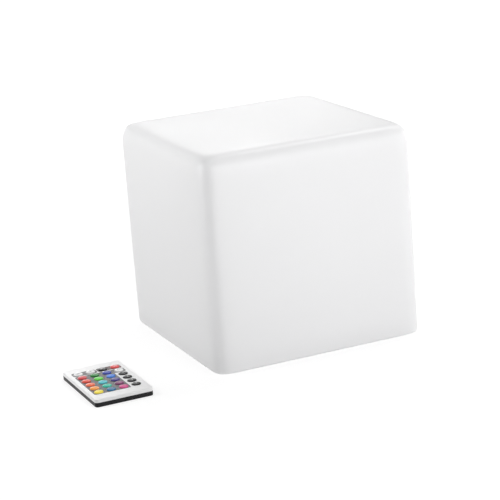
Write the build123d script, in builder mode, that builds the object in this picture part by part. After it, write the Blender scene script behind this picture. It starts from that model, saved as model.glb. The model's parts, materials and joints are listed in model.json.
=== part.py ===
from build123d import *
import os

# An LED cube light with its infrared key handset, in millimetres.
# The origin is on the floor under the middle of the cube. +Z is up, the front face looks along -Y,
# and the handset lies on the same floor, in front of the cube's left side.

# ---------------------------------------- cube shell
cube_edge = 200.0  # width and depth
cube_height = 192.0  # a little less than its width
shell_wall = 3.5
edge_radius = 16.0  # upright edges and the edges round the top
base_edge_radius = 3.0
foot_stand = 1.2  # the foot ring stands this far below the shell
foot_inner_radius = 78.0
foot_width = 8.0
foot_sunk = 1.3  # depth of the ring's groove in the shell
foot_clearance = 0.2
foot_chamfer = 0.5
recess_radius = 71.5
recess_depth = 24.0
opening_radius = 55.5  # the hole that the light housing goes up through

# ---------------------------------------- base fasteners and seals
base_screw_count = 6
base_screw_radius = 1.98
base_screw_length = 12.0
base_screw_head_radius = 4.0
base_screw_head_height = 2.2
base_screw_head_round = 0.7
counterbore_depth = 2.4
head_clearance = 0.3
screw_hole_clearance = 0.27
thread_clearance = 0.02
insert_radius = 3.0
insert_length = 7.0
insert_waist_depth = 0.3
insert_waist_length = 1.6
insert_boss_radius = 5.5
insert_boss_cap = 2.5
gasket_thickness = 1.5
gasket_inset = 1.0  # the gasket starts this far outside the opening

# ---------------------------------------- light housing and base cover
recess_gap = 1.5  # round the flange and the cover
opening_gap = 1.5  # round the housing's wall
flange_thickness = 3.0
housing_wall = 3.0
housing_rise = 38.0  # from the flange's top to the deck's top
deck_thickness = 3.0
cover_thickness = 4.0
cover_chamfer = 0.8
spigot_clearance = 0.5
spigot_wall = 2.0
spigot_height = 4.0
cover_seal_inset = 2.0  # the seal starts this far outside the housing's wall
cover_seal_width = 2.5
cover_seal_depth = 1.5

# ---------------------------------------- small screws, all alike
small_screw_radius = 1.1
small_screw_length = 8.0
small_head_radius = 2.25
small_head_height = 1.7
small_head_round = 0.8
small_hole_run_out = 0.8  # the blind holes are this much deeper than the screws
cross_slot_width = 0.8
cross_slot_depth = 0.9
cross_slot_share = 1.3  # slot length over head radius
boss_wall = 2.0  # plastic round a small screw's hole
boss_floor = 1.2

# ---------------------------------------- light engine
dome_flange_thickness = 2.5
dome_flange_width = 7.5
dome_wall = 2.0
dome_rise = 26.0
dome_screw_count = 4
dome_screw_inset = 3.5
dome_screw_start = 45.0  # degrees
dome_seal_inset = 0.3
dome_seal_width = 1.6
dome_seal_depth = 1.2
spreader_gap = 1.5
spreader_thickness = 2.0
led_board_inset = 1.0
led_board_thickness = 1.6
led_board_screw_count = 3
led_board_screw_ring_radius = 36.0
led_board_screw_start = 90.0  # degrees
led_size = 5.0
led_height = 1.6
led_well_radius = 1.9
led_well_depth = 0.3
outer_led_count = 12
outer_led_ring_radius = 30.0
inner_led_count = 4
inner_led_ring_radius = 12.0
inner_led_start = 45.0  # degrees
receiver_width = 6.0
receiver_depth = 4.0
receiver_height = 7.0
receiver_lens_radius = 2.0
receiver_lens_height = 4.0

# ---------------------------------------- driver board
driver_width = 64.0
driver_depth = 36.0
driver_thickness = 1.6
driver_y = -20.0
standoff_height = 8.2
standoff_inset_x = 3.5
standoff_inset_y = 5.0
connector_width = 8.0
connector_depth = 5.0
connector_height = 6.0
chip_size = 7.0
chip_height = 1.2
chip_x = -16.0
chip_drop = 9.0  # from the board's middle
inductor_size = 10.0
inductor_corner = 2.0
inductor_height = 5.0
inductor_x = -16.0
inductor_lift = 6.0
capacitor_radius = 3.2
capacitor_height = 8.0
capacitor_x = 16.0
capacitor_pitch = 18.0
charge_led_width = 1.6
charge_led_depth = 1.0
charge_led_height = 0.5

# ---------------------------------------- push button
button_x = 24.0
button_bore_radius = 8.0
button_clearance = 0.2
button_proud = 0.5
button_travel = 0.5
button_flange_radius = 9.5
button_flange_thickness = 1.5
button_stem_radius = 2.0
button_edge_radius = 0.8
button_lift_gap = 0.1
collar_clearance = 0.5
collar_wall = 1.5
collar_height = 3.0
button_seal_thickness = 0.9
button_seal_height = 1.4
button_seal_clearance = 0.05
switch_size = 6.0
switch_height = 3.5
plunger_radius = 1.75
plunger_clearance = 0.1
plunger_proud = 0.8
plunger_sunk = 1.5

# ---------------------------------------- charging socket and its hinged cover
socket_x = -24.0
socket_block_size = 9.0
socket_nose_radius = 4.0
socket_bore_radius = 3.15
socket_bore_depth = 9.0
socket_pin_radius = 1.0
socket_pin_recess = 1.0
socket_clearance = 0.2
port_pocket_depth = 2.0
port_gap = 0.25
port_lid_gap = 0.1
port_lid_width = 11.0
port_lid_reach = 6.3  # from the socket's axis to the free end
port_hinge_offset = 8.0  # from the socket's axis to the hinge pin
port_hinge_height = 1.5  # hinge axis above the cover's underside
port_barrel_radius = 1.3
port_channel_back = 2.2
port_channel_clearance = 0.3
port_plug_radius = 2.9
port_plug_tip_radius = 2.6
port_plug_bore_radius = 1.95
port_plug_height = 2.4
hinge_pin_radius = 0.6
hinge_pin_clearance = 0.08
hinge_pin_grip = 3.0  # length of pin held at each end
nail_scoop_radius = 4.0
nail_scoop_depth = 1.2
lens_y = -32.0
lens_radius = 1.6
lens_shoulder_radius = 2.4
lens_shoulder_height = 1.0
lens_air_gap = 0.2

# ---------------------------------------- battery and leads
cell_radius = 9.2
cell_length = 65.0
cell_y = 23.0
cell_cap_radius = 3.5
cell_cap_height = 0.6
cell_clearance = 0.15
cradle_floor = 1.5
cradle_side_wall = 1.85
cradle_end_gap = 0.9
cradle_end_wall = 1.6
cradle_corner = 3.0
cradle_grip = 3.0  # the saddles reach this far above the cell's axis
cradle_window_length = 16.0
cradle_window_x = 14.0
cradle_window_floor = 4.5
ear_offset = 15.0
ear_radius = 3.5
ear_pad_height = 1.5
ear_height = 5.5
lead_radius = 0.8
lead_bend = 4.0
lead_rise = 8.0
lead_pitch = 3.2  # between the two leads of a pair
lead_step = 4.0  # height of one step of the slack bend
lead_slack = 5.0  # how far the slack bend swings out
lead_tail = 0.5
lead_hole_clearance = 0.6
tab_thickness = 0.3
tab_width = 6.0
tab_rise = 5.5

# ---------------------------------------- handset
handset_x = -187.0
handset_y = -61.0
handset_width = 52.0
handset_length = 86.0
handset_corner = 3.0
handset_wall = 1.2
handset_floor = 0.8
handset_roof = 1.1
handset_edge = 0.7
handset_board_side_gap = 1.8
handset_board_front_gap = 2.8
handset_board_back_gap = 4.8
handset_board_thickness = 0.8
post_radius = 1.2
post_side_inset = 2.0  # from the board's sides
post_end_inset = 4.0  # from the board's ends
hold_down_radius = 0.9
controller_width = 5.0
controller_length = 7.0
controller_height = 1.0
controller_shift = 15.0
rim_wall = 0.55
rim_height = 0.7
rim_clearance = 0.1

key_columns = 4
key_rows = 6
key_pitch_x = 11.2
key_pitch_y = 10.5
key_radius = 3.9
key_clearance = 0.3
key_flange_radius = 4.5
key_flange_thickness = 0.4
key_travel = 0.5
key_stop_gap = 0.1
key_proud = 1.0
key_crown = 0.6
keymat_web = 0.3
keymat_hole_clearance = 0.3
keymat_inset = 1.0

coin_radius = 10.0
coin_height = 2.5
coin_step_radius = 8.6
coin_step = 0.25
coin_clearance = 0.15
coin_back = 12.5  # coin's centre behind the drawer's front
drawer_width = 25.6
drawer_length = 29.0
drawer_floor = 0.5
drawer_clearance = 0.15
drawer_lift = 0.1
drawer_slot_width = 0.7
drawer_slot_length = 9.0
drawer_slot_inset = 1.0
drawer_scoop_radius = 5.0
drawer_scoop_depth = 0.5
rail_wall = 1.0
contact_thickness = 0.2
contact_gap = 0.1
contact_width = 4.0
contact_length = 9.0
contact_side_gap = 0.4
contact_foot = 2.0
led_body_radius = 1.5
led_collar_radius = 1.9
led_collar_thickness = 1.0
led_reach = 1.5  # beyond the handset's end
led_clearance = 0.1
led_collar_gap = 0.6
led_axis_drop = 0.6  # below the handset board's underside
led_lead_radius = 0.25
led_lead_spread = 1.27
led_lead_overlap = 3.0

# ---------------------------------------- levels and places that follow
shell_bottom = foot_stand
ledge_z = shell_bottom + recess_depth
flange_top = ledge_z - gasket_thickness
cover_top = flange_top - flange_thickness
cover_bottom = cover_top - cover_thickness
deck_top = flange_top + housing_rise
deck_bottom = deck_top - deck_thickness
spreader_top = deck_top + spreader_thickness
led_board_top = spreader_top + led_board_thickness
dome_flange_top = deck_top + dome_flange_thickness

base_screw_ring_radius = (opening_radius + recess_radius) / 2
base_screw_hole_radius = base_screw_radius + screw_hole_clearance
base_screw_seat_z = cover_bottom + counterbore_depth
small_hole_radius = small_screw_radius + thread_clearance
small_clear_radius = small_screw_radius + screw_hole_clearance
small_boss_radius = small_screw_radius + boss_wall

flange_radius = recess_radius - recess_gap
housing_outer_radius = opening_radius - opening_gap
housing_inner_radius = housing_outer_radius - housing_wall
spigot_radius = housing_inner_radius - spigot_clearance
cover_seal_inner_radius = housing_outer_radius + cover_seal_inset
cover_seal_outer_radius = cover_seal_inner_radius + cover_seal_width

dome_radius = housing_outer_radius - dome_flange_width
dome_inner_radius = dome_radius - dome_wall
dome_screw_ring_radius = housing_outer_radius - dome_screw_inset
dome_seal_inner_radius = dome_radius + dome_seal_inset
dome_seal_outer_radius = dome_seal_inner_radius + dome_seal_width
dome_sphere_radius = (dome_radius**2 + dome_rise**2) / (2 * dome_rise)
dome_sphere_z = dome_flange_top + dome_rise - dome_sphere_radius
dome_inner_sphere_radius = dome_sphere_radius - dome_wall
dome_inner_spring_z = dome_sphere_z + (dome_inner_sphere_radius**2 - dome_inner_radius**2) ** 0.5
spreader_radius = dome_inner_radius - spreader_gap
led_board_radius = spreader_radius - led_board_inset

driver_bottom = cover_top + standoff_height
driver_top = driver_bottom + driver_thickness
standoff_span_x = driver_width - 2 * standoff_inset_x
standoff_span_y = driver_depth - 2 * standoff_inset_y
wire_hole_radius = lead_pitch / 2 + lead_radius + lead_hole_clearance
led_connector_y = driver_y
battery_connector_y = driver_y + driver_depth / 2 - connector_depth

button_y = driver_y
button_radius = button_bore_radius - button_clearance
button_bottom = cover_bottom - button_proud
button_flange_bottom = cover_top + button_lift_gap
switch_bottom = driver_bottom - switch_height
plunger_bottom = switch_bottom - plunger_proud
button_seal_bottom = cover_bottom + (cover_thickness - button_seal_height) / 2

socket_y = driver_y
socket_nose_bottom = cover_bottom + port_pocket_depth + socket_clearance
socket_pin_tip = socket_nose_bottom + socket_pin_recess
port_lid_bottom = cover_bottom + port_lid_gap
port_lid_thickness = port_pocket_depth - 2 * port_lid_gap
port_lid_top = port_lid_bottom + port_lid_thickness
port_hinge_x = socket_x - port_hinge_offset
port_hinge_z = cover_bottom + port_hinge_height
port_lid_end_x = socket_x + port_lid_reach
port_pocket_width = port_lid_width + 2 * port_gap
lens_top = driver_bottom - charge_led_height - lens_air_gap

cell_z = cover_top + cradle_floor + cell_clearance + cell_radius
cradle_half_length = cell_length / 2 + cradle_end_gap + cradle_end_wall
cradle_half_width = cell_radius + cell_clearance + cradle_side_wall
cradle_top = cell_z + cradle_grip
ear_top = cover_top + ear_pad_height + ear_height

handset_plane = Plane(origin=(handset_x, handset_y, 0))
drawer_bottom = handset_floor + drawer_lift
coin_bottom = drawer_bottom + drawer_floor
coin_top = coin_bottom + coin_height
split_z = coin_top + 2 * drawer_lift
contact_bottom = coin_top + contact_gap
handset_board_bottom = contact_bottom + contact_thickness
handset_board_top = handset_board_bottom + handset_board_thickness
keymat_top = handset_board_top + keymat_web
key_bottom = handset_board_top + key_travel + key_stop_gap
key_flange_top = key_bottom + key_flange_thickness
handset_roof_bottom = key_flange_top + key_stop_gap
handset_top = handset_roof_bottom + handset_roof
key_hole_radius = key_radius + key_clearance
handset_front_y = -handset_length / 2
handset_board_width = handset_width - 2 * (handset_wall + handset_board_side_gap)
handset_board_length = handset_length - 2 * handset_wall - handset_board_front_gap - handset_board_back_gap
handset_board_shift = (handset_board_front_gap - handset_board_back_gap) / 2
post_pitch_x = handset_board_width - 2 * post_side_inset
post_pitch_y = handset_board_length / 2 - post_end_inset
coin_y = handset_front_y + coin_back
drawer_mid_y = handset_front_y + drawer_length / 2
rail_x = drawer_width / 2 + drawer_clearance + rail_wall / 2
ir_led_z = handset_board_bottom - led_axis_drop
ir_led_back_y = handset_board_shift + handset_board_length / 2 + led_collar_gap

key_names = (
    ("brightness_up", "brightness_down", "off", "on"),
    ("red", "green", "blue", "white"),
    ("orange_red", "light_green", "sky_blue", "flash"),
    ("orange", "cyan", "indigo", "strobe"),
    ("amber", "teal", "plum", "fade"),
    ("yellow", "azure", "pink", "smooth"),
)

os.makedirs("parts", exist_ok=True)


def small_hole_bottom(seat_z):
    """Height of the bottom of the blind hole for a small screw whose head sits at seat_z."""
    return seat_z - small_screw_length - small_hole_run_out


# ---------------------------------------- fastener patterns, head up, seat at z = 0
with BuildPart() as small_screw:
    Cylinder(small_head_radius, small_head_height, align=(Align.CENTER, Align.CENTER, Align.MIN))
    fillet(small_screw.edges().group_by(Axis.Z)[-1], small_head_round)
    Cylinder(small_screw_radius, small_screw_length, align=(Align.CENTER, Align.CENTER, Align.MAX))
    with BuildSketch(Plane.XY.offset(small_head_height)):
        Rectangle(small_head_radius * cross_slot_share, cross_slot_width)
        Rectangle(cross_slot_width, small_head_radius * cross_slot_share)
    extrude(amount=-cross_slot_depth, mode=Mode.SUBTRACT)

with BuildPart() as base_screw:
    Cylinder(base_screw_head_radius, base_screw_head_height, align=(Align.CENTER, Align.CENTER, Align.MIN))
    fillet(base_screw.edges().group_by(Axis.Z)[-1], base_screw_head_round)
    Cylinder(base_screw_radius, base_screw_length, align=(Align.CENTER, Align.CENTER, Align.MAX))
    with BuildSketch(Plane.XY.offset(base_screw_head_height)):
        Rectangle(base_screw_head_radius * cross_slot_share, cross_slot_width)
        Rectangle(cross_slot_width, base_screw_head_radius * cross_slot_share)
    extrude(amount=-cross_slot_depth, mode=Mode.SUBTRACT)

# ---------------------------------------- cube shell, foot ring, inserts and gasket
cavity_edge = cube_edge - 2 * shell_wall
cavity_height = cube_height - 2 * shell_wall

with BuildPart() as shell_cavity:
    with BuildSketch(Plane.XY.offset(shell_bottom + shell_wall)):
        Rectangle(cavity_edge, cavity_edge)
    extrude(amount=cavity_height)
    fillet(
        shell_cavity.edges().filter_by(Axis.Z) + shell_cavity.edges().group_by(Axis.Z)[-1],
        edge_radius - shell_wall,
    )

with BuildPart() as cube_shell:
    with BuildSketch(Plane.XY.offset(shell_bottom)):
        Rectangle(cube_edge, cube_edge)
    extrude(amount=cube_height)
    fillet(
        cube_shell.edges().filter_by(Axis.Z) + cube_shell.edges().group_by(Axis.Z)[-1],
        edge_radius,
    )
    fillet(cube_shell.edges().group_by(Axis.Z)[0], base_edge_radius)
    add(shell_cavity.part, mode=Mode.SUBTRACT)
    # the dish that forms the recess, with a boss over each insert
    with BuildSketch(Plane.XY.offset(shell_bottom)):
        Circle(recess_radius + shell_wall)
    extrude(amount=recess_depth + shell_wall)
    with BuildSketch(Plane.XY.offset(ledge_z)):
        with PolarLocations(base_screw_ring_radius, base_screw_count):
            Circle(insert_boss_radius)
    extrude(amount=insert_length + insert_boss_cap)
    with BuildSketch(Plane.XY.offset(shell_bottom)):
        Circle(recess_radius)
    extrude(amount=recess_depth, mode=Mode.SUBTRACT)
    with BuildSketch(Plane.XY.offset(ledge_z)):
        Circle(opening_radius)
    extrude(amount=shell_wall, mode=Mode.SUBTRACT)
    with BuildSketch(Plane.XY.offset(ledge_z)):
        with PolarLocations(base_screw_ring_radius, base_screw_count):
            Circle(insert_radius)
    extrude(amount=insert_length, mode=Mode.SUBTRACT)
    with BuildSketch(Plane.XY.offset(shell_bottom)):
        Circle(foot_inner_radius + foot_width + foot_clearance)
        Circle(foot_inner_radius - foot_clearance, mode=Mode.SUBTRACT)
    extrude(amount=foot_sunk, mode=Mode.SUBTRACT)
cube_shell.part.label = "cube_shell"
export_step(cube_shell.part, "parts/cube_shell.step")

with BuildPart() as foot_ring:
    with BuildSketch():
        Circle(foot_inner_radius + foot_width)
        Circle(foot_inner_radius, mode=Mode.SUBTRACT)
    extrude(amount=foot_stand + foot_sunk)
    chamfer(foot_ring.edges().group_by(Axis.Z)[0], foot_chamfer)
foot_ring.part.label = "foot_ring"
export_step(foot_ring.part, "parts/foot_ring.step")

with BuildPart() as threaded_inserts:
    with BuildSketch(Plane.XY.offset(ledge_z)):
        with PolarLocations(base_screw_ring_radius, base_screw_count):
            Circle(insert_radius)
            Circle(base_screw_radius + thread_clearance, mode=Mode.SUBTRACT)
    extrude(amount=insert_length)
    with BuildSketch(Plane.XY.offset(ledge_z + (insert_length - insert_waist_length) / 2)):
        with PolarLocations(base_screw_ring_radius, base_screw_count):
            Circle(insert_radius)
            Circle(insert_radius - insert_waist_depth, mode=Mode.SUBTRACT)
    extrude(amount=insert_waist_length, mode=Mode.SUBTRACT)
threaded_inserts.part.label = "threaded_inserts"
export_step(threaded_inserts.part, "parts/threaded_inserts.step")

with BuildPart() as shell_gasket:
    with BuildSketch(Plane.XY.offset(flange_top)):
        Circle(flange_radius)
        Circle(opening_radius + gasket_inset, mode=Mode.SUBTRACT)
        with PolarLocations(base_screw_ring_radius, base_screw_count):
            Circle(base_screw_hole_radius, mode=Mode.SUBTRACT)
    extrude(amount=gasket_thickness)
shell_gasket.part.label = "shell_gasket"
export_step(shell_gasket.part, "parts/shell_gasket.step")

# ---------------------------------------- light housing: a pot with a flange and a deck
with BuildPart() as light_housing:
    with BuildSketch(Plane.XY.offset(cover_top)):
        Circle(flange_radius)
    extrude(amount=flange_thickness)
    with BuildSketch(Plane.XY.offset(flange_top)):
        Circle(housing_outer_radius)
    extrude(amount=housing_rise)
    with BuildSketch(Plane.XY.offset(cover_top)):
        Circle(housing_inner_radius)
    extrude(amount=deck_bottom - cover_top, mode=Mode.SUBTRACT)
    with BuildSketch(Plane.XY.offset(deck_bottom)):
        with PolarLocations(dome_screw_ring_radius, dome_screw_count, start_angle=dome_screw_start):
            Circle(small_boss_radius)
    extrude(amount=small_hole_bottom(dome_flange_top) - boss_floor - deck_bottom)
    with BuildSketch(Plane.XY.offset(deck_bottom)):
        with PolarLocations(
            led_board_screw_ring_radius, led_board_screw_count, start_angle=led_board_screw_start
        ):
            Circle(small_boss_radius)
    extrude(amount=small_hole_bottom(led_board_top) - boss_floor - deck_bottom)
    with BuildSketch(Plane.XY.offset(deck_top)):
        with PolarLocations(dome_screw_ring_radius, dome_screw_count, start_angle=dome_screw_start):
            Circle(small_hole_radius)
    extrude(amount=small_hole_bottom(dome_flange_top) - deck_top, mode=Mode.SUBTRACT)
    with BuildSketch(Plane.XY.offset(deck_top)):
        with PolarLocations(
            led_board_screw_ring_radius, led_board_screw_count, start_angle=led_board_screw_start
        ):
            Circle(small_hole_radius)
    extrude(amount=small_hole_bottom(led_board_top) - deck_top, mode=Mode.SUBTRACT)
    with BuildSketch(Plane.XY.offset(deck_top)):
        with Locations((0, led_connector_y)):
            Circle(wire_hole_radius)
    extrude(amount=-deck_thickness, mode=Mode.SUBTRACT)
    with BuildSketch(Plane.XY.offset(deck_top)):
        Circle(dome_seal_outer_radius)
        Circle(dome_seal_inner_radius, mode=Mode.SUBTRACT)
    extrude(amount=-dome_seal_depth, mode=Mode.SUBTRACT)
    with BuildSketch(Plane.XY.offset(cover_top)):
        with PolarLocations(base_screw_ring_radius, base_screw_count):
            Circle(base_screw_hole_radius)
    extrude(amount=flange_thickness, mode=Mode.SUBTRACT)
light_housing.part.label = "light_housing"
export_step(light_housing.part, "parts/light_housing.step")

with BuildPart() as dome_seal:
    with BuildSketch(Plane.XY.offset(deck_top - dome_seal_depth)):
        Circle(dome_seal_outer_radius)
        Circle(dome_seal_inner_radius, mode=Mode.SUBTRACT)
    extrude(amount=dome_seal_depth)
dome_seal.part.label = "dome_seal"
export_step(dome_seal.part, "parts/dome_seal.step")

with BuildPart() as heat_spreader:
    with BuildSketch(Plane.XY.offset(deck_top)):
        Circle(spreader_radius)
        with PolarLocations(
            led_board_screw_ring_radius, led_board_screw_count, start_angle=led_board_screw_start
        ):
            Circle(small_clear_radius, mode=Mode.SUBTRACT)
        with Locations((0, led_connector_y)):
            Circle(wire_hole_radius, mode=Mode.SUBTRACT)
    extrude(amount=spreader_thickness)
heat_spreader.part.label = "heat_spreader"
export_step(heat_spreader.part, "parts/heat_spreader.step")

with BuildPart() as led_board:
    with BuildSketch(Plane.XY.offset(spreader_top)):
        Circle(led_board_radius)
        with PolarLocations(
            led_board_screw_ring_radius, led_board_screw_count, start_angle=led_board_screw_start
        ):
            Circle(small_clear_radius, mode=Mode.SUBTRACT)
        with Locations((0, led_connector_y)):
            Circle(wire_hole_radius, mode=Mode.SUBTRACT)
    extrude(amount=led_board_thickness)
led_board.part.label = "led_board"
export_step(led_board.part, "parts/led_board.step")

with BuildPart() as led_chips:
    with BuildSketch(Plane.XY.offset(led_board_top)):
        with PolarLocations(outer_led_ring_radius, outer_led_count):
            Rectangle(led_size, led_size)
        with PolarLocations(inner_led_ring_radius, inner_led_count, start_angle=inner_led_start):
            Rectangle(led_size, led_size)
    extrude(amount=led_height)
    with BuildSketch(Plane.XY.offset(led_board_top + led_height)):
        with PolarLocations(outer_led_ring_radius, outer_led_count):
            Circle(led_well_radius)
        with PolarLocations(inner_led_ring_radius, inner_led_count, start_angle=inner_led_start):
            Circle(led_well_radius)
    extrude(amount=-led_well_depth, mode=Mode.SUBTRACT)
led_chips.part.label = "led_chips"
export_step(led_chips.part, "parts/led_chips.step")

with BuildPart() as ir_receiver:
    with BuildSketch(Plane.XY.offset(led_board_top)):
        Rectangle(receiver_width, receiver_depth)
    extrude(amount=receiver_height)
    with Locations((0, -receiver_depth / 2, led_board_top + receiver_lens_height)):
        Sphere(receiver_lens_radius)
ir_receiver.part.label = "ir_receiver"
export_step(ir_receiver.part, "parts/ir_receiver.step")

with BuildPart() as diffuser_dome:
    with BuildSketch(Plane.XZ):
        with BuildLine():
            Polyline(
                (dome_inner_radius, dome_inner_spring_z),
                (dome_inner_radius, deck_top),
                (housing_outer_radius, deck_top),
                (housing_outer_radius, dome_flange_top),
                (dome_radius, dome_flange_top),
            )
            RadiusArc((dome_radius, dome_flange_top), (0, dome_flange_top + dome_rise), -dome_sphere_radius)
            Line((0, dome_flange_top + dome_rise), (0, dome_flange_top + dome_rise - dome_wall))
            RadiusArc(
                (0, dome_flange_top + dome_rise - dome_wall),
                (dome_inner_radius, dome_inner_spring_z),
                dome_inner_sphere_radius,
            )
        make_face()
    revolve(axis=Axis.Z)
    with BuildSketch(Plane.XY.offset(deck_top)):
        with PolarLocations(dome_screw_ring_radius, dome_screw_count, start_angle=dome_screw_start):
            Circle(small_clear_radius)
    extrude(amount=dome_flange_thickness, mode=Mode.SUBTRACT)
diffuser_dome.part.label = "diffuser_dome"
export_step(diffuser_dome.part, "parts/diffuser_dome.step")

# ---------------------------------------- base cover with its holes, pocket and standoffs
with BuildPart() as base_cover:
    with BuildSketch(Plane.XY.offset(cover_bottom)):
        Circle(flange_radius)
    extrude(amount=cover_thickness)
    chamfer(base_cover.edges().group_by(Axis.Z)[0], cover_chamfer)
    with BuildSketch(Plane.XY.offset(cover_top)):
        Circle(spigot_radius)
        Circle(spigot_radius - spigot_wall, mode=Mode.SUBTRACT)
    extrude(amount=spigot_height)
    with BuildSketch(Plane.XY.offset(cover_top)):
        with Locations((0, driver_y)):
            with GridLocations(standoff_span_x, standoff_span_y, 2, 2):
                Circle(small_boss_radius)
    extrude(amount=standoff_height)
    with BuildSketch(Plane.XY.offset(driver_bottom)):
        with Locations((0, driver_y)):
            with GridLocations(standoff_span_x, standoff_span_y, 2, 2):
                Circle(small_hole_radius)
    extrude(amount=small_hole_bottom(driver_top) - driver_bottom, mode=Mode.SUBTRACT)
    # pads and holes under the battery cradle's ears
    with BuildSketch(Plane.XY.offset(cover_top)):
        with Locations((0, cell_y - ear_offset), (0, cell_y + ear_offset)):
            Circle(ear_radius)
    extrude(amount=ear_pad_height)
    with BuildSketch(Plane.XY.offset(cover_top + ear_pad_height)):
        with Locations((0, cell_y - ear_offset), (0, cell_y + ear_offset)):
            Circle(small_hole_radius)
    extrude(amount=small_hole_bottom(ear_top) - cover_top - ear_pad_height, mode=Mode.SUBTRACT)
    # collar and bore of the push button
    with BuildSketch(Plane.XY.offset(cover_top)):
        with Locations((button_x, button_y)):
            Circle(button_flange_radius + collar_clearance + collar_wall)
            Circle(button_flange_radius + collar_clearance, mode=Mode.SUBTRACT)
    extrude(amount=collar_height)
    with BuildSketch(Plane.XY.offset(cover_bottom)):
        with Locations((button_x, button_y)):
            Circle(button_bore_radius)
        with Locations((socket_x, socket_y)):
            Circle(socket_nose_radius + socket_clearance)
        with Locations((0, lens_y)):
            Circle(lens_radius)
        with PolarLocations(base_screw_ring_radius, base_screw_count):
            Circle(base_screw_hole_radius)
    extrude(amount=cover_thickness, mode=Mode.SUBTRACT)
    with BuildSketch(Plane.XY.offset(cover_bottom)):
        with PolarLocations(base_screw_ring_radius, base_screw_count):
            Circle(base_screw_head_radius + head_clearance)
    extrude(amount=counterbore_depth, mode=Mode.SUBTRACT)
    with BuildSketch(Plane.XY.offset(cover_top)):
        Circle(cover_seal_outer_radius)
        Circle(cover_seal_inner_radius, mode=Mode.SUBTRACT)
    extrude(amount=-cover_seal_depth, mode=Mode.SUBTRACT)
    # pocket of the port cover, with a deeper channel for the hinge barrel and a scoop for a nail
    with BuildSketch(Plane((port_hinge_x - port_channel_back, socket_y, cover_bottom))):
        Rectangle(
            port_channel_back + port_lid_end_x - port_hinge_x + port_gap,
            port_pocket_width,
            align=(Align.MIN, Align.CENTER),
        )
    extrude(amount=port_pocket_depth, mode=Mode.SUBTRACT)
    with BuildSketch(Plane((port_hinge_x - port_channel_back, socket_y, cover_bottom))):
        Rectangle(
            port_channel_back + port_barrel_radius + port_channel_clearance,
            port_pocket_width,
            align=(Align.MIN, Align.CENTER),
        )
    extrude(amount=port_hinge_height + port_barrel_radius + port_channel_clearance, mode=Mode.SUBTRACT)
    with BuildSketch(Plane((port_lid_end_x, socket_y, cover_bottom))):
        Circle(nail_scoop_radius)
    extrude(amount=nail_scoop_depth, mode=Mode.SUBTRACT)
    with Locations((port_hinge_x, socket_y, port_hinge_z)):
        Cylinder(
            hinge_pin_radius,
            port_pocket_width + 2 * hinge_pin_grip,
            rotation=(90, 0, 0),
            mode=Mode.SUBTRACT,
        )
base_cover.part.label = "base_cover"
export_step(base_cover.part, "parts/base_cover.step")

with BuildPart() as cover_seal:
    with BuildSketch(Plane.XY.offset(cover_top - cover_seal_depth)):
        Circle(cover_seal_outer_radius)
        Circle(cover_seal_inner_radius, mode=Mode.SUBTRACT)
    extrude(amount=cover_seal_depth)
cover_seal.part.label = "cover_seal"
export_step(cover_seal.part, "parts/cover_seal.step")

with BuildPart() as base_screws:
    with Locations(Plane((0, 0, base_screw_seat_z), z_dir=(0, 0, -1))):
        with PolarLocations(base_screw_ring_radius, base_screw_count):
            add(base_screw.part)
base_screws.part.label = "base_screws"
export_step(base_screws.part, "parts/base_screws.step")

with BuildPart() as module_screws:
    with Locations((0, 0, dome_flange_top)):
        with PolarLocations(dome_screw_ring_radius, dome_screw_count, start_angle=dome_screw_start):
            add(small_screw.part)
    with Locations((0, 0, led_board_top)):
        with PolarLocations(
            led_board_screw_ring_radius, led_board_screw_count, start_angle=led_board_screw_start
        ):
            add(small_screw.part)
    with Locations((0, driver_y, driver_top)):
        with GridLocations(standoff_span_x, standoff_span_y, 2, 2):
            add(small_screw.part)
    with Locations((0, cell_y - ear_offset, ear_top), (0, cell_y + ear_offset, ear_top)):
        add(small_screw.part)
module_screws.part.label = "module_screws"
export_step(module_screws.part, "parts/module_screws.step")

# ---------------------------------------- driver board and what is soldered to it
with BuildPart() as driver_board:
    with BuildSketch(Plane.XY.offset(driver_bottom)):
        with Locations((0, driver_y)):
            Rectangle(driver_width, driver_depth)
            with GridLocations(standoff_span_x, standoff_span_y, 2, 2):
                Circle(small_clear_radius, mode=Mode.SUBTRACT)
    extrude(amount=driver_thickness)
driver_board.part.label = "driver_board"
export_step(driver_board.part, "parts/driver_board.step")

with BuildPart() as driver_components:
    with BuildSketch(Plane.XY.offset(driver_top)):
        with Locations((0, led_connector_y), (0, battery_connector_y)):
            Rectangle(connector_width, connector_depth)
    extrude(amount=connector_height)
    with BuildSketch(Plane.XY.offset(driver_top)):
        with Locations((chip_x, driver_y - chip_drop)):
            Rectangle(chip_size, chip_size)
    extrude(amount=chip_height)
    with BuildSketch(Plane.XY.offset(driver_top)):
        with Locations((inductor_x, driver_y + inductor_lift)):
            RectangleRounded(inductor_size, inductor_size, inductor_corner)
    extrude(amount=inductor_height)
    with BuildSketch(Plane.XY.offset(driver_top)):
        with Locations((capacitor_x, driver_y)):
            with GridLocations(0, capacitor_pitch, 1, 2):
                Circle(capacitor_radius)
    extrude(amount=capacitor_height)
    with BuildSketch(Plane.XY.offset(driver_bottom)):
        with Locations((0, lens_y)):
            Rectangle(charge_led_width, charge_led_depth)
    extrude(amount=-charge_led_height)
driver_components.part.label = "driver_components"
export_step(driver_components.part, "parts/driver_components.step")

with BuildPart() as charge_lens:
    with BuildSketch(Plane.XY.offset(cover_bottom)):
        with Locations((0, lens_y)):
            Circle(lens_radius)
    extrude(amount=lens_top - cover_bottom)
    with BuildSketch(Plane.XY.offset(cover_top)):
        with Locations((0, lens_y)):
            Circle(lens_shoulder_radius)
    extrude(amount=lens_shoulder_height)
charge_lens.part.label = "charge_lens"
export_step(charge_lens.part, "parts/charge_lens.step")

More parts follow.
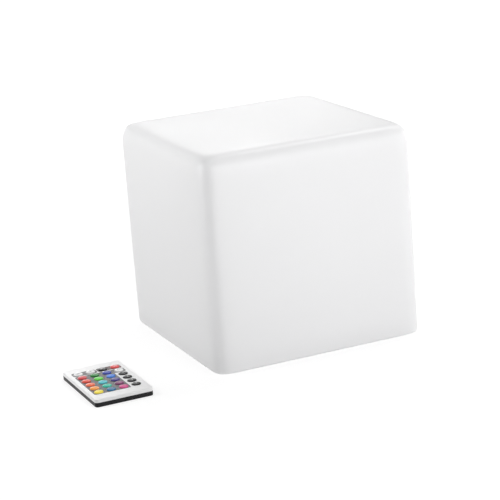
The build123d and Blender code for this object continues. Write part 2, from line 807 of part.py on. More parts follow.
# ---------------------------------------- push button, its seal and the switch over it
with BuildPart() as power_button:
    with BuildSketch(Plane((button_x, button_y, button_bottom))):
        Circle(button_radius)
    extrude(amount=button_flange_bottom - button_bottom)
    fillet(power_button.edges().group_by(Axis.Z)[0], button_edge_radius)
    with BuildSketch(Plane((button_x, button_y, button_flange_bottom))):
        Circle(button_flange_radius)
    extrude(amount=button_flange_thickness)
    with BuildSketch(Plane((button_x, button_y, button_flange_bottom))):
        Circle(button_stem_radius)
    extrude(amount=plunger_bottom - button_flange_bottom)
    with BuildSketch(Plane((button_x, button_y, button_seal_bottom))):
        Circle(button_radius)
        Circle(button_bore_radius - button_seal_clearance - button_seal_thickness, mode=Mode.SUBTRACT)
    extrude(amount=button_seal_height, mode=Mode.SUBTRACT)
power_button.part.label = "power_button"
export_step(power_button.part, "parts/power_button.step")

with BuildPart() as button_seal:
    with BuildSketch(Plane((button_x, button_y, button_seal_bottom))):
        Circle(button_bore_radius - button_seal_clearance)
        Circle(button_bore_radius - button_seal_clearance - button_seal_thickness, mode=Mode.SUBTRACT)
    extrude(amount=button_seal_height)
button_seal.part.label = "button_seal"
export_step(button_seal.part, "parts/button_seal.step")

with BuildPart() as tact_switch:
    with BuildSketch(Plane((button_x, button_y, switch_bottom))):
        Rectangle(switch_size, switch_size)
    extrude(amount=switch_height)
    with BuildSketch(Plane((button_x, button_y, switch_bottom))):
        Circle(plunger_radius + plunger_clearance)
    extrude(amount=plunger_sunk + button_travel + button_lift_gap, mode=Mode.SUBTRACT)
tact_switch.part.label = "tact_switch"
export_step(tact_switch.part, "parts/tact_switch.step")

with BuildPart() as switch_plunger:
    with BuildSketch(Plane((button_x, button_y, plunger_bottom))):
        Circle(plunger_radius)
    extrude(amount=plunger_proud + plunger_sunk)
switch_plunger.part.label = "switch_plunger"
export_step(switch_plunger.part, "parts/switch_plunger.step")

# ---------------------------------------- charging socket, hinged cover and hinge pin
with BuildPart() as dc_jack:
    with BuildSketch(Plane((socket_x, socket_y, cover_top + socket_clearance))):
        Rectangle(socket_block_size, socket_block_size)
    extrude(amount=driver_bottom - cover_top - socket_clearance)
    with BuildSketch(Plane((socket_x, socket_y, socket_nose_bottom))):
        Circle(socket_nose_radius)
    extrude(amount=driver_bottom - socket_nose_bottom)
    with BuildSketch(Plane((socket_x, socket_y, socket_nose_bottom))):
        Circle(socket_bore_radius)
    extrude(amount=socket_bore_depth, mode=Mode.SUBTRACT)
    with BuildSketch(Plane((socket_x, socket_y, socket_pin_tip))):
        Circle(socket_pin_radius)
    extrude(amount=driver_bottom - socket_pin_tip)
dc_jack.part.label = "dc_jack"
export_step(dc_jack.part, "parts/dc_jack.step")

with BuildPart() as port_cover:
    with BuildSketch(Plane((port_hinge_x, socket_y, port_lid_bottom))):
        Rectangle(port_lid_end_x - port_hinge_x, port_lid_width, align=(Align.MIN, Align.CENTER))
    extrude(amount=port_lid_thickness)
    with Locations((port_hinge_x, socket_y, port_hinge_z)):
        Cylinder(port_barrel_radius, port_lid_width, rotation=(90, 0, 0))
    with Locations((socket_x, socket_y, port_lid_top)):
        Cone(
            port_plug_radius,
            port_plug_tip_radius,
            port_plug_height,
            align=(Align.CENTER, Align.CENTER, Align.MIN),
        )
        Cylinder(
            port_plug_bore_radius,
            port_plug_height,
            align=(Align.CENTER, Align.CENTER, Align.MIN),
            mode=Mode.SUBTRACT,
        )
    with Locations((port_hinge_x, socket_y, port_hinge_z)):
        Cylinder(
            hinge_pin_radius + hinge_pin_clearance,
            port_lid_width,
            rotation=(90, 0, 0),
            mode=Mode.SUBTRACT,
        )
port_cover.part.label = "port_cover"
export_step(port_cover.part, "parts/port_cover.step")

with BuildPart() as port_hinge_pin:
    with Locations((port_hinge_x, socket_y, port_hinge_z)):
        Cylinder(hinge_pin_radius, port_pocket_width + 2 * hinge_pin_grip, rotation=(90, 0, 0))
port_hinge_pin.part.label = "port_hinge_pin"
export_step(port_hinge_pin.part, "parts/port_hinge_pin.step")

# ---------------------------------------- battery cell, its cradle and the leads
with BuildPart() as battery_cell:
    with BuildSketch(Plane((-cell_length / 2, cell_y, cell_z), z_dir=(1, 0, 0))):
        Circle(cell_radius)
    extrude(amount=cell_length - cell_cap_height)
    with BuildSketch(Plane((cell_length / 2, cell_y, cell_z), z_dir=(1, 0, 0))):
        Circle(cell_cap_radius)
    extrude(amount=-cell_cap_height)
battery_cell.part.label = "battery_cell"
export_step(battery_cell.part, "parts/battery_cell.step")

with BuildPart() as battery_cradle:
    with BuildSketch(Plane((0, cell_y, cover_top))):
        RectangleRounded(2 * cradle_half_length, 2 * cradle_half_width, cradle_corner)
    extrude(amount=cradle_top - cover_top)
    for side in (-1, 1):
        with BuildSketch(Plane((0, cell_y + side * ear_offset, cover_top + ear_pad_height))):
            Circle(ear_radius)
        extrude(amount=ear_height)
        with BuildSketch(Plane((0, cell_y, cover_top + ear_pad_height))):
            with Locations((0, side * (cradle_half_width + ear_offset) / 2)):
                Rectangle(2 * ear_radius, ear_offset - cradle_half_width)
        extrude(amount=ear_height)
        with BuildSketch(Plane((0, cell_y + side * ear_offset, ear_top))):
            Circle(small_clear_radius)
        extrude(amount=-ear_height, mode=Mode.SUBTRACT)
    with Locations((0, cell_y, cell_z)):
        Cylinder(
            cell_radius + cell_clearance,
            cell_length + 2 * cradle_end_gap,
            rotation=(0, 90, 0),
            mode=Mode.SUBTRACT,
        )
    with BuildSketch(Plane((0, cell_y, cover_top + cradle_window_floor))):
        with Locations((-cradle_window_x, 0), (cradle_window_x, 0)):
            Rectangle(cradle_window_length, 2 * cradle_half_width)
    extrude(amount=cradle_top - cover_top, mode=Mode.SUBTRACT)
battery_cradle.part.label = "battery_cradle"
export_step(battery_cradle.part, "parts/battery_cradle.step")

tab_top = cell_z + cell_radius + tab_rise
connector_top = driver_top + connector_height

with BuildPart() as internal_leads:
    for side in (-1, 1):
        tab_x = side * (cell_length / 2 + tab_thickness / 2)
        # weld tab at each end of the cell, and the lead from it to the battery connector
        with BuildSketch(Plane((tab_x, cell_y, cell_z))):
            Rectangle(tab_thickness, tab_width)
        extrude(amount=tab_top - cell_z)
        with BuildLine():
            battery_route = FilletPolyline(
                (tab_x, cell_y, tab_top),
                (tab_x, cell_y, tab_top + lead_rise),
                (side * lead_pitch / 2, battery_connector_y, tab_top + lead_rise),
                (side * lead_pitch / 2, battery_connector_y, connector_top),
                radius=lead_bend,
            )
        with BuildSketch(Plane(origin=battery_route @ 0, z_dir=battery_route % 0)):
            Circle(lead_radius)
        sweep()
        # lead from the board up through the deck to the LED board, with a slack bend
        with BuildLine():
            light_route = FilletPolyline(
                (side * lead_pitch / 2, led_connector_y, connector_top),
                (side * lead_pitch / 2, led_connector_y, connector_top + lead_step),
                (side * lead_pitch / 2, led_connector_y + lead_slack, connector_top + 3 * lead_step),
                (side * lead_pitch / 2, led_connector_y, connector_top + 5 * lead_step),
                (side * lead_pitch / 2, led_connector_y, led_board_top + lead_tail),
                radius=lead_bend,
            )
        with BuildSketch(Plane(origin=light_route @ 0, z_dir=light_route % 0)):
            Circle(lead_radius)
        sweep()
internal_leads.part.label = "internal_leads"
export_step(internal_leads.part, "parts/internal_leads.step")

# ---------------------------------------- handset: black lower case with the drawer's rails
with BuildPart() as handset_lower_case:
    with BuildSketch(handset_plane):
        RectangleRounded(handset_width, handset_length, handset_corner)
    extrude(amount=split_z)
    fillet(handset_lower_case.edges().group_by(Axis.Z)[0], handset_edge)
    with BuildSketch(handset_plane.offset(split_z)):
        RectangleRounded(
            handset_width - 2 * (handset_wall - rim_wall),
            handset_length - 2 * (handset_wall - rim_wall),
            handset_corner - handset_wall + rim_wall,
        )
    extrude(amount=rim_height)
    with BuildSketch(handset_plane.offset(handset_floor)):
        RectangleRounded(
            handset_width - 2 * handset_wall,
            handset_length - 2 * handset_wall,
            handset_corner - handset_wall,
        )
    extrude(amount=handset_top, mode=Mode.SUBTRACT)
    # posts under the board and the two rails beside the drawer
    with BuildSketch(handset_plane.offset(handset_floor)):
        with Locations((0, handset_board_shift)):
            with GridLocations(post_pitch_x, post_pitch_y, 2, 3):
                Circle(post_radius)
    extrude(amount=handset_board_bottom - handset_floor)
    with BuildSketch(handset_plane.offset(handset_floor)):
        with Locations((-rail_x, drawer_mid_y), (rail_x, drawer_mid_y)):
            Rectangle(rail_wall, drawer_length)
    extrude(amount=coin_top - handset_floor)
    # mouth for the drawer and the hole for the infrared LED
    with BuildSketch(handset_plane.offset(handset_floor)):
        with Locations((0, handset_front_y)):
            Rectangle(drawer_width + 2 * drawer_clearance, 2 * handset_wall + rail_wall)
    extrude(amount=handset_top, mode=Mode.SUBTRACT)
    with Locations((handset_x, handset_y + handset_length / 2, ir_led_z)):
        Cylinder(
            led_body_radius + led_clearance,
            4 * handset_wall,
            rotation=(90, 0, 0),
            mode=Mode.SUBTRACT,
        )
handset_lower_case.part.label = "handset_lower_case"
export_step(handset_lower_case.part, "parts/handset_lower_case.step")

# white upper case with a hole for each key
with BuildPart() as handset_upper_case:
    with BuildSketch(handset_plane.offset(split_z)):
        RectangleRounded(handset_width, handset_length, handset_corner)
    extrude(amount=handset_top - split_z)
    fillet(handset_upper_case.edges().group_by(Axis.Z)[-1], handset_edge)
    with BuildSketch(handset_plane.offset(split_z)):
        RectangleRounded(
            handset_width - 2 * handset_wall,
            handset_length - 2 * handset_wall,
            handset_corner - handset_wall,
        )
    extrude(amount=handset_roof_bottom - split_z, mode=Mode.SUBTRACT)
    with BuildSketch(handset_plane.offset(split_z)):
        RectangleRounded(
            handset_width - 2 * (handset_wall - rim_wall - rim_clearance),
            handset_length - 2 * (handset_wall - rim_wall - rim_clearance),
            handset_corner - handset_wall + rim_wall + rim_clearance,
        )
    extrude(amount=rim_height + rim_clearance, mode=Mode.SUBTRACT)
    # short pegs that hold the keymat down, between the keys
    with BuildSketch(handset_plane.offset(keymat_top)):
        with GridLocations(2 * key_pitch_x, 2 * key_pitch_y, key_columns // 2, key_rows // 2):
            Circle(hold_down_radius)
    extrude(amount=handset_roof_bottom - keymat_top)
    with BuildSketch(handset_plane.offset(handset_roof_bottom)):
        with GridLocations(key_pitch_x, key_pitch_y, key_columns, key_rows):
            Circle(key_hole_radius)
    extrude(amount=handset_roof, mode=Mode.SUBTRACT)
    with Locations((handset_x, handset_y + handset_length / 2, ir_led_z)):
        Cylinder(
            led_body_radius + led_clearance,
            4 * handset_wall,
            rotation=(90, 0, 0),
            mode=Mode.SUBTRACT,
        )
handset_upper_case.part.label = "handset_upper_case"
export_step(handset_upper_case.part, "parts/handset_upper_case.step")

with BuildPart() as handset_keymat:
    with BuildSketch(handset_plane.offset(handset_board_top)):
        with Locations((0, handset_board_shift)):
            Rectangle(handset_board_width - 2 * keymat_inset, handset_board_length - 2 * keymat_inset)
        with GridLocations(key_pitch_x, key_pitch_y, key_columns, key_rows):
            Circle(key_flange_radius + keymat_hole_clearance, mode=Mode.SUBTRACT)
    extrude(amount=keymat_web)
handset_keymat.part.label = "handset_keymat"
export_step(handset_keymat.part, "parts/handset_keymat.step")

with BuildPart() as handset_board:
    with BuildSketch(handset_plane.offset(handset_board_bottom)):
        with Locations((0, handset_board_shift)):
            Rectangle(handset_board_width, handset_board_length)
    extrude(amount=handset_board_thickness)
    with BuildSketch(handset_plane.offset(handset_board_bottom)):
        with Locations((0, controller_shift)):
            Rectangle(controller_width, controller_length)
    extrude(amount=-controller_height)
handset_board.part.label = "handset_board"
export_step(handset_board.part, "parts/handset_board.step")

with BuildPart() as handset_ir_led:
    with BuildSketch(Plane((handset_x, handset_y + ir_led_back_y, ir_led_z), z_dir=(0, 1, 0))):
        Circle(led_collar_radius)
    extrude(amount=led_collar_thickness)
    with BuildSketch(Plane((handset_x, handset_y + ir_led_back_y, ir_led_z), z_dir=(0, 1, 0))):
        Circle(led_body_radius)
    extrude(amount=handset_length / 2 + led_reach - led_body_radius - ir_led_back_y)
    with Locations((handset_x, handset_y + handset_length / 2 + led_reach - led_body_radius, ir_led_z)):
        Sphere(led_body_radius)
    with Locations(
        (handset_x - led_lead_spread, handset_y + ir_led_back_y, handset_board_bottom - led_lead_radius),
        (handset_x + led_lead_spread, handset_y + ir_led_back_y, handset_board_bottom - led_lead_radius),
    ):
        Cylinder(
            led_lead_radius,
            led_lead_overlap,
            rotation=(90, 0, 0),
            align=(Align.CENTER, Align.CENTER, Align.MIN),
        )
handset_ir_led.part.label = "handset_ir_led"
export_step(handset_ir_led.part, "parts/handset_ir_led.step")

with BuildPart() as handset_contacts:
    with BuildSketch(handset_plane.offset(contact_bottom)):
        with Locations((0, coin_y)):
            Rectangle(contact_width, contact_length)
    extrude(amount=contact_thickness)
    # the other contact stands just behind the coin cell
    with BuildSketch(handset_plane.offset(contact_bottom)):
        with Locations((0, coin_y + coin_radius + contact_side_gap + contact_foot / 2)):
            Rectangle(contact_width, contact_foot)
    extrude(amount=contact_thickness)
    with BuildSketch(handset_plane.offset(contact_bottom + contact_thickness)):
        with Locations((0, coin_y + coin_radius + contact_side_gap + contact_thickness / 2)):
            Rectangle(contact_width, contact_thickness)
    extrude(amount=-coin_height)
handset_contacts.part.label = "handset_contacts"
export_step(handset_contacts.part, "parts/handset_contacts.step")

# ---------------------------------------- battery drawer and coin cell
with BuildPart() as battery_drawer:
    with BuildSketch(handset_plane.offset(drawer_bottom)):
        with Locations((0, drawer_mid_y)):
            Rectangle(drawer_width, drawer_length)
    extrude(amount=coin_top - drawer_bottom)
    with BuildSketch(handset_plane.offset(coin_bottom)):
        with Locations((0, coin_y)):
            Circle(coin_radius + coin_clearance)
        with Locations((0, handset_front_y + drawer_length)):
            Rectangle(contact_width + 4 * contact_side_gap, 2 * (drawer_length - coin_back - coin_radius))
    extrude(amount=coin_height, mode=Mode.SUBTRACT)
    # slots that free a squeeze finger at each side, and a thumb scoop in the front edge
    with BuildSketch(handset_plane.offset(drawer_bottom)):
        with Locations((0, coin_y - coin_radius)):
            with GridLocations(drawer_width - 2 * drawer_slot_inset, 0, 2, 1):
                Rectangle(drawer_slot_width, drawer_slot_length, align=(Align.CENTER, Align.MIN))
    extrude(amount=coin_top, mode=Mode.SUBTRACT)
    with BuildSketch(handset_plane.offset(drawer_bottom)):
        with Locations((0, handset_front_y - drawer_scoop_radius + drawer_scoop_depth)):
            Circle(drawer_scoop_radius)
    extrude(amount=coin_top, mode=Mode.SUBTRACT)
battery_drawer.part.label = "battery_drawer"
export_step(battery_drawer.part, "parts/battery_drawer.step")

with BuildPart() as coin_cell:
    with BuildSketch(handset_plane.offset(coin_bottom)):
        with Locations((0, coin_y)):
            Circle(coin_step_radius)
    extrude(amount=coin_height)
    with BuildSketch(handset_plane.offset(coin_bottom + coin_step)):
        with Locations((0, coin_y)):
            Circle(coin_radius)
    extrude(amount=coin_height - coin_step)
coin_cell.part.label = "coin_cell"
export_step(coin_cell.part, "parts/coin_cell.step")

# ---------------------------------------- keys: one moulded button for each hole
key_top = handset_top + key_proud
key_shoulder = key_top - key_crown

with BuildPart() as key_pattern:
    with BuildSketch(Plane.XZ):
        with BuildLine():
            Polyline(
                (0, key_top),
                (0, key_bottom),
                (key_flange_radius, key_bottom),
                (key_flange_radius, key_flange_top),
                (key_radius, key_flange_top),
                (key_radius, key_shoulder),
            )
            RadiusArc(
                (key_radius, key_shoulder),
                (0, key_top),
                -(key_radius**2 + key_crown**2) / (2 * key_crown),
            )
        make_face()
    revolve(axis=Axis.Z)

for row, row_names in enumerate(key_names):
    for column, key_name in enumerate(row_names):
        key_x = handset_x + (column - (key_columns - 1) / 2) * key_pitch_x
        key_y = handset_y + ((key_rows - 1) / 2 - row) * key_pitch_y
        with BuildPart() as key:
            with Locations((key_x, key_y, 0)):
                add(key_pattern.part)
        key.part.label = f"key_{key_name}"
        export_step(key.part, f"parts/key_{key_name}.step")
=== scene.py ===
"""Looks of an LED cube light and its infrared key handset.

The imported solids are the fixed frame. This script gives each of them a finish, puts finer surfaces in
place of the moulded shell and the handset's keys, and sets the camera, the lamps and the floor.
Lengths are metres, +Z is up and the cube's front face looks along -Y.
"""

from __future__ import annotations

import json
import logging
import math
from collections.abc import Sequence
from dataclasses import dataclass, field
from enum import Enum

import bpy
import numpy as np
import numpy.typing as npt
from mathutils import Matrix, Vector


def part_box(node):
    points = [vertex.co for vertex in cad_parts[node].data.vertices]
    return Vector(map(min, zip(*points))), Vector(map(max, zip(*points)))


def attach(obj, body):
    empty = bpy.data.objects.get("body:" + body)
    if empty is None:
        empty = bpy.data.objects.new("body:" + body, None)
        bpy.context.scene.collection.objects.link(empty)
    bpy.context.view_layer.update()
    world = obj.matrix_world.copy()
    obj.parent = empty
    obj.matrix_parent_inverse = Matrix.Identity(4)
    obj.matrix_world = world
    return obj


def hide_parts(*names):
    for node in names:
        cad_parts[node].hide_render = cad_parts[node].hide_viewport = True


Array = npt.NDArray[np.float64]
Shape = tuple[Array, list[list[int]]]   # points and faces
Triple = tuple[float, float, float]
Socket = bpy.types.NodeSocket
Value = float | tuple[float, ...] | Socket

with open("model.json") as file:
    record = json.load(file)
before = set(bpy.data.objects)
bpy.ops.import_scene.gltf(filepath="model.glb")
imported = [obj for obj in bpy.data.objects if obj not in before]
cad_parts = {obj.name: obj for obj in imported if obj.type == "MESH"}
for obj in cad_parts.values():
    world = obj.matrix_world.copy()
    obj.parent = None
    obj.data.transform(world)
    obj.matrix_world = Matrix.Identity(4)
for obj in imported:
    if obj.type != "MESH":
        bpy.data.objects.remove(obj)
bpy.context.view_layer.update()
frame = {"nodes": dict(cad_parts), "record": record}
log = logging.getLogger("cube_light")

MM = 0.001
WHITE = (1.0, 1.0, 1.0)
BLACK = (0.012, 0.012, 0.013)

CREASE = 35.0           # edges that turn by more than this many degrees stay sharp
CIRCLE = 2.0            # fullness of a plain circle
BEAD_TOP = 0.6          # share of a bead's width that is flat on top
DOME_END = 0.999        # share of a dome's radius up to which its height is worked out
STROKE_TURN = 12.0      # degrees between the points of a round stroke
STROKE_POINTS = 7       # points of a straight stroke
CLOSED_GAP = 2.0        # a path whose ends are nearer than this many strokes is closed on itself
MIX_INPUTS = (0, 6, 7)  # sockets of a Mix node's share and of its two colours
MIX_RESULT = 2          # socket of its mixed colour


# ---------------------------------------- surfaces worked out as arrays

def full_arc(steps: int, fullness: float, turn: float = 90.0) -> Array:
    """Points of |x|^n + |y|^n = 1 from (1, 0) towards (0, 1), whose normals turn nearly evenly.

    They are (cos t, sin t) to the power of 2 / n, with t in equal steps. A fullness n of 2 is a circle,
    more is squarer.

    Args:
        steps: number of equal steps.
        fullness: the exponent n.
        turn: the last t in degrees.

    Returns:
        An array of steps + 1 rows (x, y).
    """
    angle = np.radians(np.linspace(0.0, turn, steps + 1))
    direction = np.stack([np.cos(angle), np.sin(angle)], axis=1)
    return np.clip(direction, 0.0, 1.0) ** (2.0 / fullness)


def soft_square_rings(half: Array, corner: Array, flats: int, corners: int, fullness: float) -> Array:
    """Closed rings, each a square whose corners are full arcs.

    On the flat half sides a point lies at half * tan(angle), with even angles, so that the points also
    suit a circle. The corner is its centre (half - corner) plus corner times the full arc. The quarter
    is turned by 90 degrees three times.

    Args:
        half: half width of each ring.
        corner: reach of each ring's corner arc.
        flats: steps along each half side.
        corners: steps round each corner.
        fullness: the corner arc's exponent.

    Returns:
        An array (rings, points, 2), counterclockwise from the +X side's middle.
    """
    half, corner = half[:, None], corner[:, None]
    share = np.linspace(0.0, 1.0, flats, endpoint=False)[None, :]
    flat_angle = np.arctan2(half - corner, half)
    rising = half * np.tan(flat_angle * share)
    falling = half * np.tan(flat_angle * (1.0 - share))
    arc = full_arc(corners, fullness)[:-1]
    first = np.stack([np.broadcast_to(half, rising.shape), rising], axis=-1)
    middle = (half - corner)[:, :, None] + corner[:, :, None] * arc[None, :, :]
    last = np.stack([falling, np.broadcast_to(half, falling.shape)], axis=-1)
    quarter = np.concatenate([first, middle, last], axis=1)
    turned = [quarter]
    for _ in range(3):
        turned.append(np.stack([-turned[-1][..., 1], turned[-1][..., 0]], axis=-1))
    return np.concatenate(turned, axis=1)


def grid_faces(rows: int, columns: int, closed: bool = False) -> npt.NDArray[np.int64]:
    """Quads between neighbouring points of a grid of closed rows that is numbered row by row.

    Args:
        rows: number of rows.
        columns: number of points in a row.
        closed: joins the last row to the first.

    Returns:
        An array (quads, 4), facing outwards when the rows go down and the columns run counterclockwise.
    """
    i, j = np.meshgrid(np.arange(rows if closed else rows - 1), np.arange(columns), indexing="ij")
    below, beside = (i + 1) % rows, (j + 1) % columns
    corners = [i * columns + j, below * columns + j, below * columns + beside, i * columns + beside]
    return np.stack(corners, axis=-1).reshape(-1, 4)


def skin_with_poles(rings: Array, first_pole: Array, last_pole: Array) -> Shape:
    """A closed skin: rings in order, with one point beyond each end.

    Args:
        rings: an array (rings, points, 3).
        first_pole: the point that closes the first ring.
        last_pole: the point that closes the last ring.

    Returns:
        The points and the faces.
    """
    count, columns = rings.shape[:2]
    points = np.concatenate([first_pole[None, :], rings.reshape(-1, 3), last_pole[None, :]])
    here = np.arange(columns)
    beside = (here + 1) % columns
    last_row = 1 + (count - 1) * columns
    end = np.full(columns, count * columns + 1)
    opening = np.stack([np.zeros(columns, int), here + 1, beside + 1], axis=1)
    closing = np.stack([last_row + here, end, last_row + beside], axis=1)
    quads = grid_faces(count, columns) + 1
    return points, quads.tolist() + opening.tolist() + closing.tolist()


def even_directions(count: int) -> Array:
    """Unit vectors (cos t, sin t) for count even angles t, from +X counterclockwise."""
    angle = np.arange(count) * (2.0 * np.pi / count)
    return np.stack([np.cos(angle), np.sin(angle)], axis=1)


def lifted(flat: Array, height: Array) -> Array:
    """Rings in space, each from a flat one and its height.

    Args:
        flat: an array (rings, points, 2).
        height: the height of each ring.

    Returns:
        An array (rings, points, 3).
    """
    upright = np.broadcast_to(height[:, None, None], (*flat.shape[:2], 1))
    return np.concatenate([flat, upright], axis=2)


def lathe(profile: Array, centre: Array, segments: int) -> Shape:
    """Turns a profile of (radius, height) round the upright axis through centre.

    The profile runs down the outside. It starts and ends on the axis, in the skin's two poles.

    Args:
        profile: rows (radius, height).
        centre: a point (x, y, z) that is added to every point.
        segments: points round the axis.

    Returns:
        The points and the faces.
    """
    rings = lifted(profile[:, None, :1] * even_directions(segments), profile[:, 1]) + centre
    return skin_with_poles(rings[1:-1], rings[0, 0], rings[-1, 0])


def carried_section(path: Array, closed: bool, half_width: float, bed: float, rise: float,
                    surface: Dome) -> Shape:
    """A flat-topped bead carried along a path on a dome.

    At each point the section's four corners stand on the path's normal: two at half_width to either side,
    bed under the dome's height there, and two at BEAD_TOP of that, rise over the dome.

    Args:
        path: rows (x, y) in the dome's plane.
        closed: joins the last point to the first.
        half_width: half of the bead's width.
        bed: depth of its edges under the dome.
        rise: height of its top over the dome.
        surface: the dome that it lies on.

    Returns:
        The points and the faces.
    """
    if closed:
        along = np.roll(path, -1, axis=0) - np.roll(path, 1, axis=0)
    else:
        along = np.gradient(path, axis=0)
    along = along / np.linalg.norm(along, axis=1, keepdims=True)
    normal = np.stack([-along[:, 1], along[:, 0]], axis=1)
    across = np.array([-1.0, -BEAD_TOP, BEAD_TOP, 1.0]) * half_width
    height = np.array([-bed, rise, rise, -bed])
    flat = path[:, None, :] + normal[:, None, :] * across[None, :, None]
    top = surface.height(flat) + height[None, :]
    points = np.concatenate([flat, top[..., None]], axis=2)
    rows, columns = points.shape[:2]
    faces = grid_faces(rows, columns, closed).tolist()
    if not closed:
        last = (rows - 1) * columns
        faces += [[0, 1, 2, 3], [last + 3, last + 2, last + 1, last]]
    return points.reshape(-1, 3), faces


def joined(parts: list[Shape]) -> Shape:
    """Puts several shapes into one.

    Args:
        parts: each shape's points and faces.

    Returns:
        All the points and all the faces, numbered on from one shape to the next.
    """
    points: list[Array] = []
    faces: list[list[int]] = []
    start = 0
    for part_points, part_faces in parts:
        points.append(part_points)
        faces += [[start + index for index in face] for face in part_faces]
        start += len(part_points)
    return np.concatenate(points), faces


def make_piece(name: str, shape: Shape, body: str) -> bpy.types.Object:
    """Makes an object whose place is in its mesh, and lets it ride on a body.

    Args:
        name: the piece's name.
        shape: its points and faces.
        body: the body that it moves with.

    Returns:
        The new object.
    """
    mesh = bpy.data.meshes.new(name)
    mesh.from_pydata(shape[0].tolist(), [], shape[1])
    mesh.shade_smooth()
    mesh.set_sharp_from_angle(angle=math.radians(CREASE))
    piece = bpy.data.objects.new(name, mesh)
    bpy.context.scene.collection.objects.link(piece)
    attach(piece, body)
    log.info("%s: %d points, rides on %s", name, len(mesh.vertices), body)
    return piece


# ---------------------------------------- node trees

class Bench:
    """Places nodes in one tree and joins them."""

    def __init__(self, tree: bpy.types.NodeTree) -> None:
        """Starts on a tree, which keeps the nodes it has."""
        self.tree = tree

    def feed(self, socket: Socket, value: Value) -> None:
        """Links a socket to a value's socket, or sets it to a plain value.

        Args:
            socket: the input socket.
            value: what it gets, a colour without its alpha.
        """
        if isinstance(value, Socket):
            self.tree.links.new(value, socket)
        elif isinstance(value, tuple) and socket.type == "RGBA":
            socket.default_value = (*value[:3], 1.0)
        else:
            socket.default_value = value

    def node(self, kind: str, inputs: dict[str | int, Value] | None = None,
             **settings: object) -> bpy.types.Node:
        """Adds a node.

        Args:
            kind: the node's type, without the word ShaderNode in front.
            inputs: values for its input sockets, by name or number.
            **settings: values for its own settings.

        Returns:
            The new node.
        """
        node = self.tree.nodes.new(f"ShaderNode{kind}")
        for key, setting in settings.items():
            setattr(node, key, setting)
        for key, value in (inputs or {}).items():
            self.feed(node.inputs[key], value)
        return node

    def maths(self, operation: str, *values: Value, clamp: bool = False) -> Socket:
        """The result of a Math node on the given values."""
        return self.node("Math", dict(enumerate(values)), operation=operation, use_clamp=clamp).outputs[0]

    def vector(self, operation: str, *values: Value) -> Socket:
        """The vector result of a Vector Math node on the given values."""
        return self.node("VectorMath", dict(enumerate(values)), operation=operation).outputs[0]

    def remap(self, value: Value, low: float, high: float, to_low: float, to_high: float,
              smooth: bool = False) -> Socket:
        """Carries the range low..high to to_low..to_high, held at its ends.

        Args:
            value: what is carried over.
            low: the value that gives to_low.
            high: the value that gives to_high.
            to_low: result at low.
            to_high: result at high.
            smooth: eases in and out where True.

        Returns:
            The result's socket.
        """
        node = self.node(
            "MapRange",
            {"Value": value, "From Min": low, "From Max": high, "To Min": to_low, "To Max": to_high},
            interpolation_type="SMOOTHSTEP" if smooth else "LINEAR",
        )
        return node.outputs["Result"]

    def tint(self, mask: Value, first: Value, second: Value) -> Socket:
        """Mixes two colours.

        Args:
            mask: 0 for the first colour, 1 for the second.
            first: a colour.
            second: another colour.

        Returns:
            The mixed colour.
        """
        inputs = dict(zip(MIX_INPUTS, (mask, first, second)))
        return self.node("Mix", inputs, data_type="RGBA").outputs[MIX_RESULT]

    def noise(self, vector: Value, scale: Value, detail: float = 2.0, roughness: float = 0.5) -> Socket:
        """Smooth noise from 0 to 1, with scale cells to a metre."""
        inputs = {"Vector": vector, "Scale": scale, "Detail": detail, "Roughness": roughness}
        return self.node("TexNoise", inputs).outputs["Fac"]

    def part(self, vector: Value, axis: str) -> Socket:
        """One of a vector's three parts, by its letter."""
        return self.node("SeparateXYZ", {0: vector}).outputs[axis]


def start_group(name: str, inputs: dict[str, tuple[str, float]],
                outputs: dict[str, str]) -> tuple[Bench, bpy.types.Node, bpy.types.Node]:
    """Opens a new shader node group.

    Args:
        name: the group's name.
        inputs: each input's kind of socket and its usual value.
        outputs: each output's kind of socket.

    Returns:
        A bench on the group, its input node and its output node.
    """
    tree = bpy.data.node_groups.new(name, "ShaderNodeTree")
    for key, (kind, usual) in inputs.items():
        socket = tree.interface.new_socket(key, in_out="INPUT", socket_type=f"NodeSocket{kind}")
        if kind == "Float":
            socket.default_value = usual
    for key, kind in outputs.items():
        tree.interface.new_socket(key, in_out="OUTPUT", socket_type=f"NodeSocket{kind}")
    return Bench(tree), tree.nodes.new("NodeGroupInput"), tree.nodes.new("NodeGroupOutput")


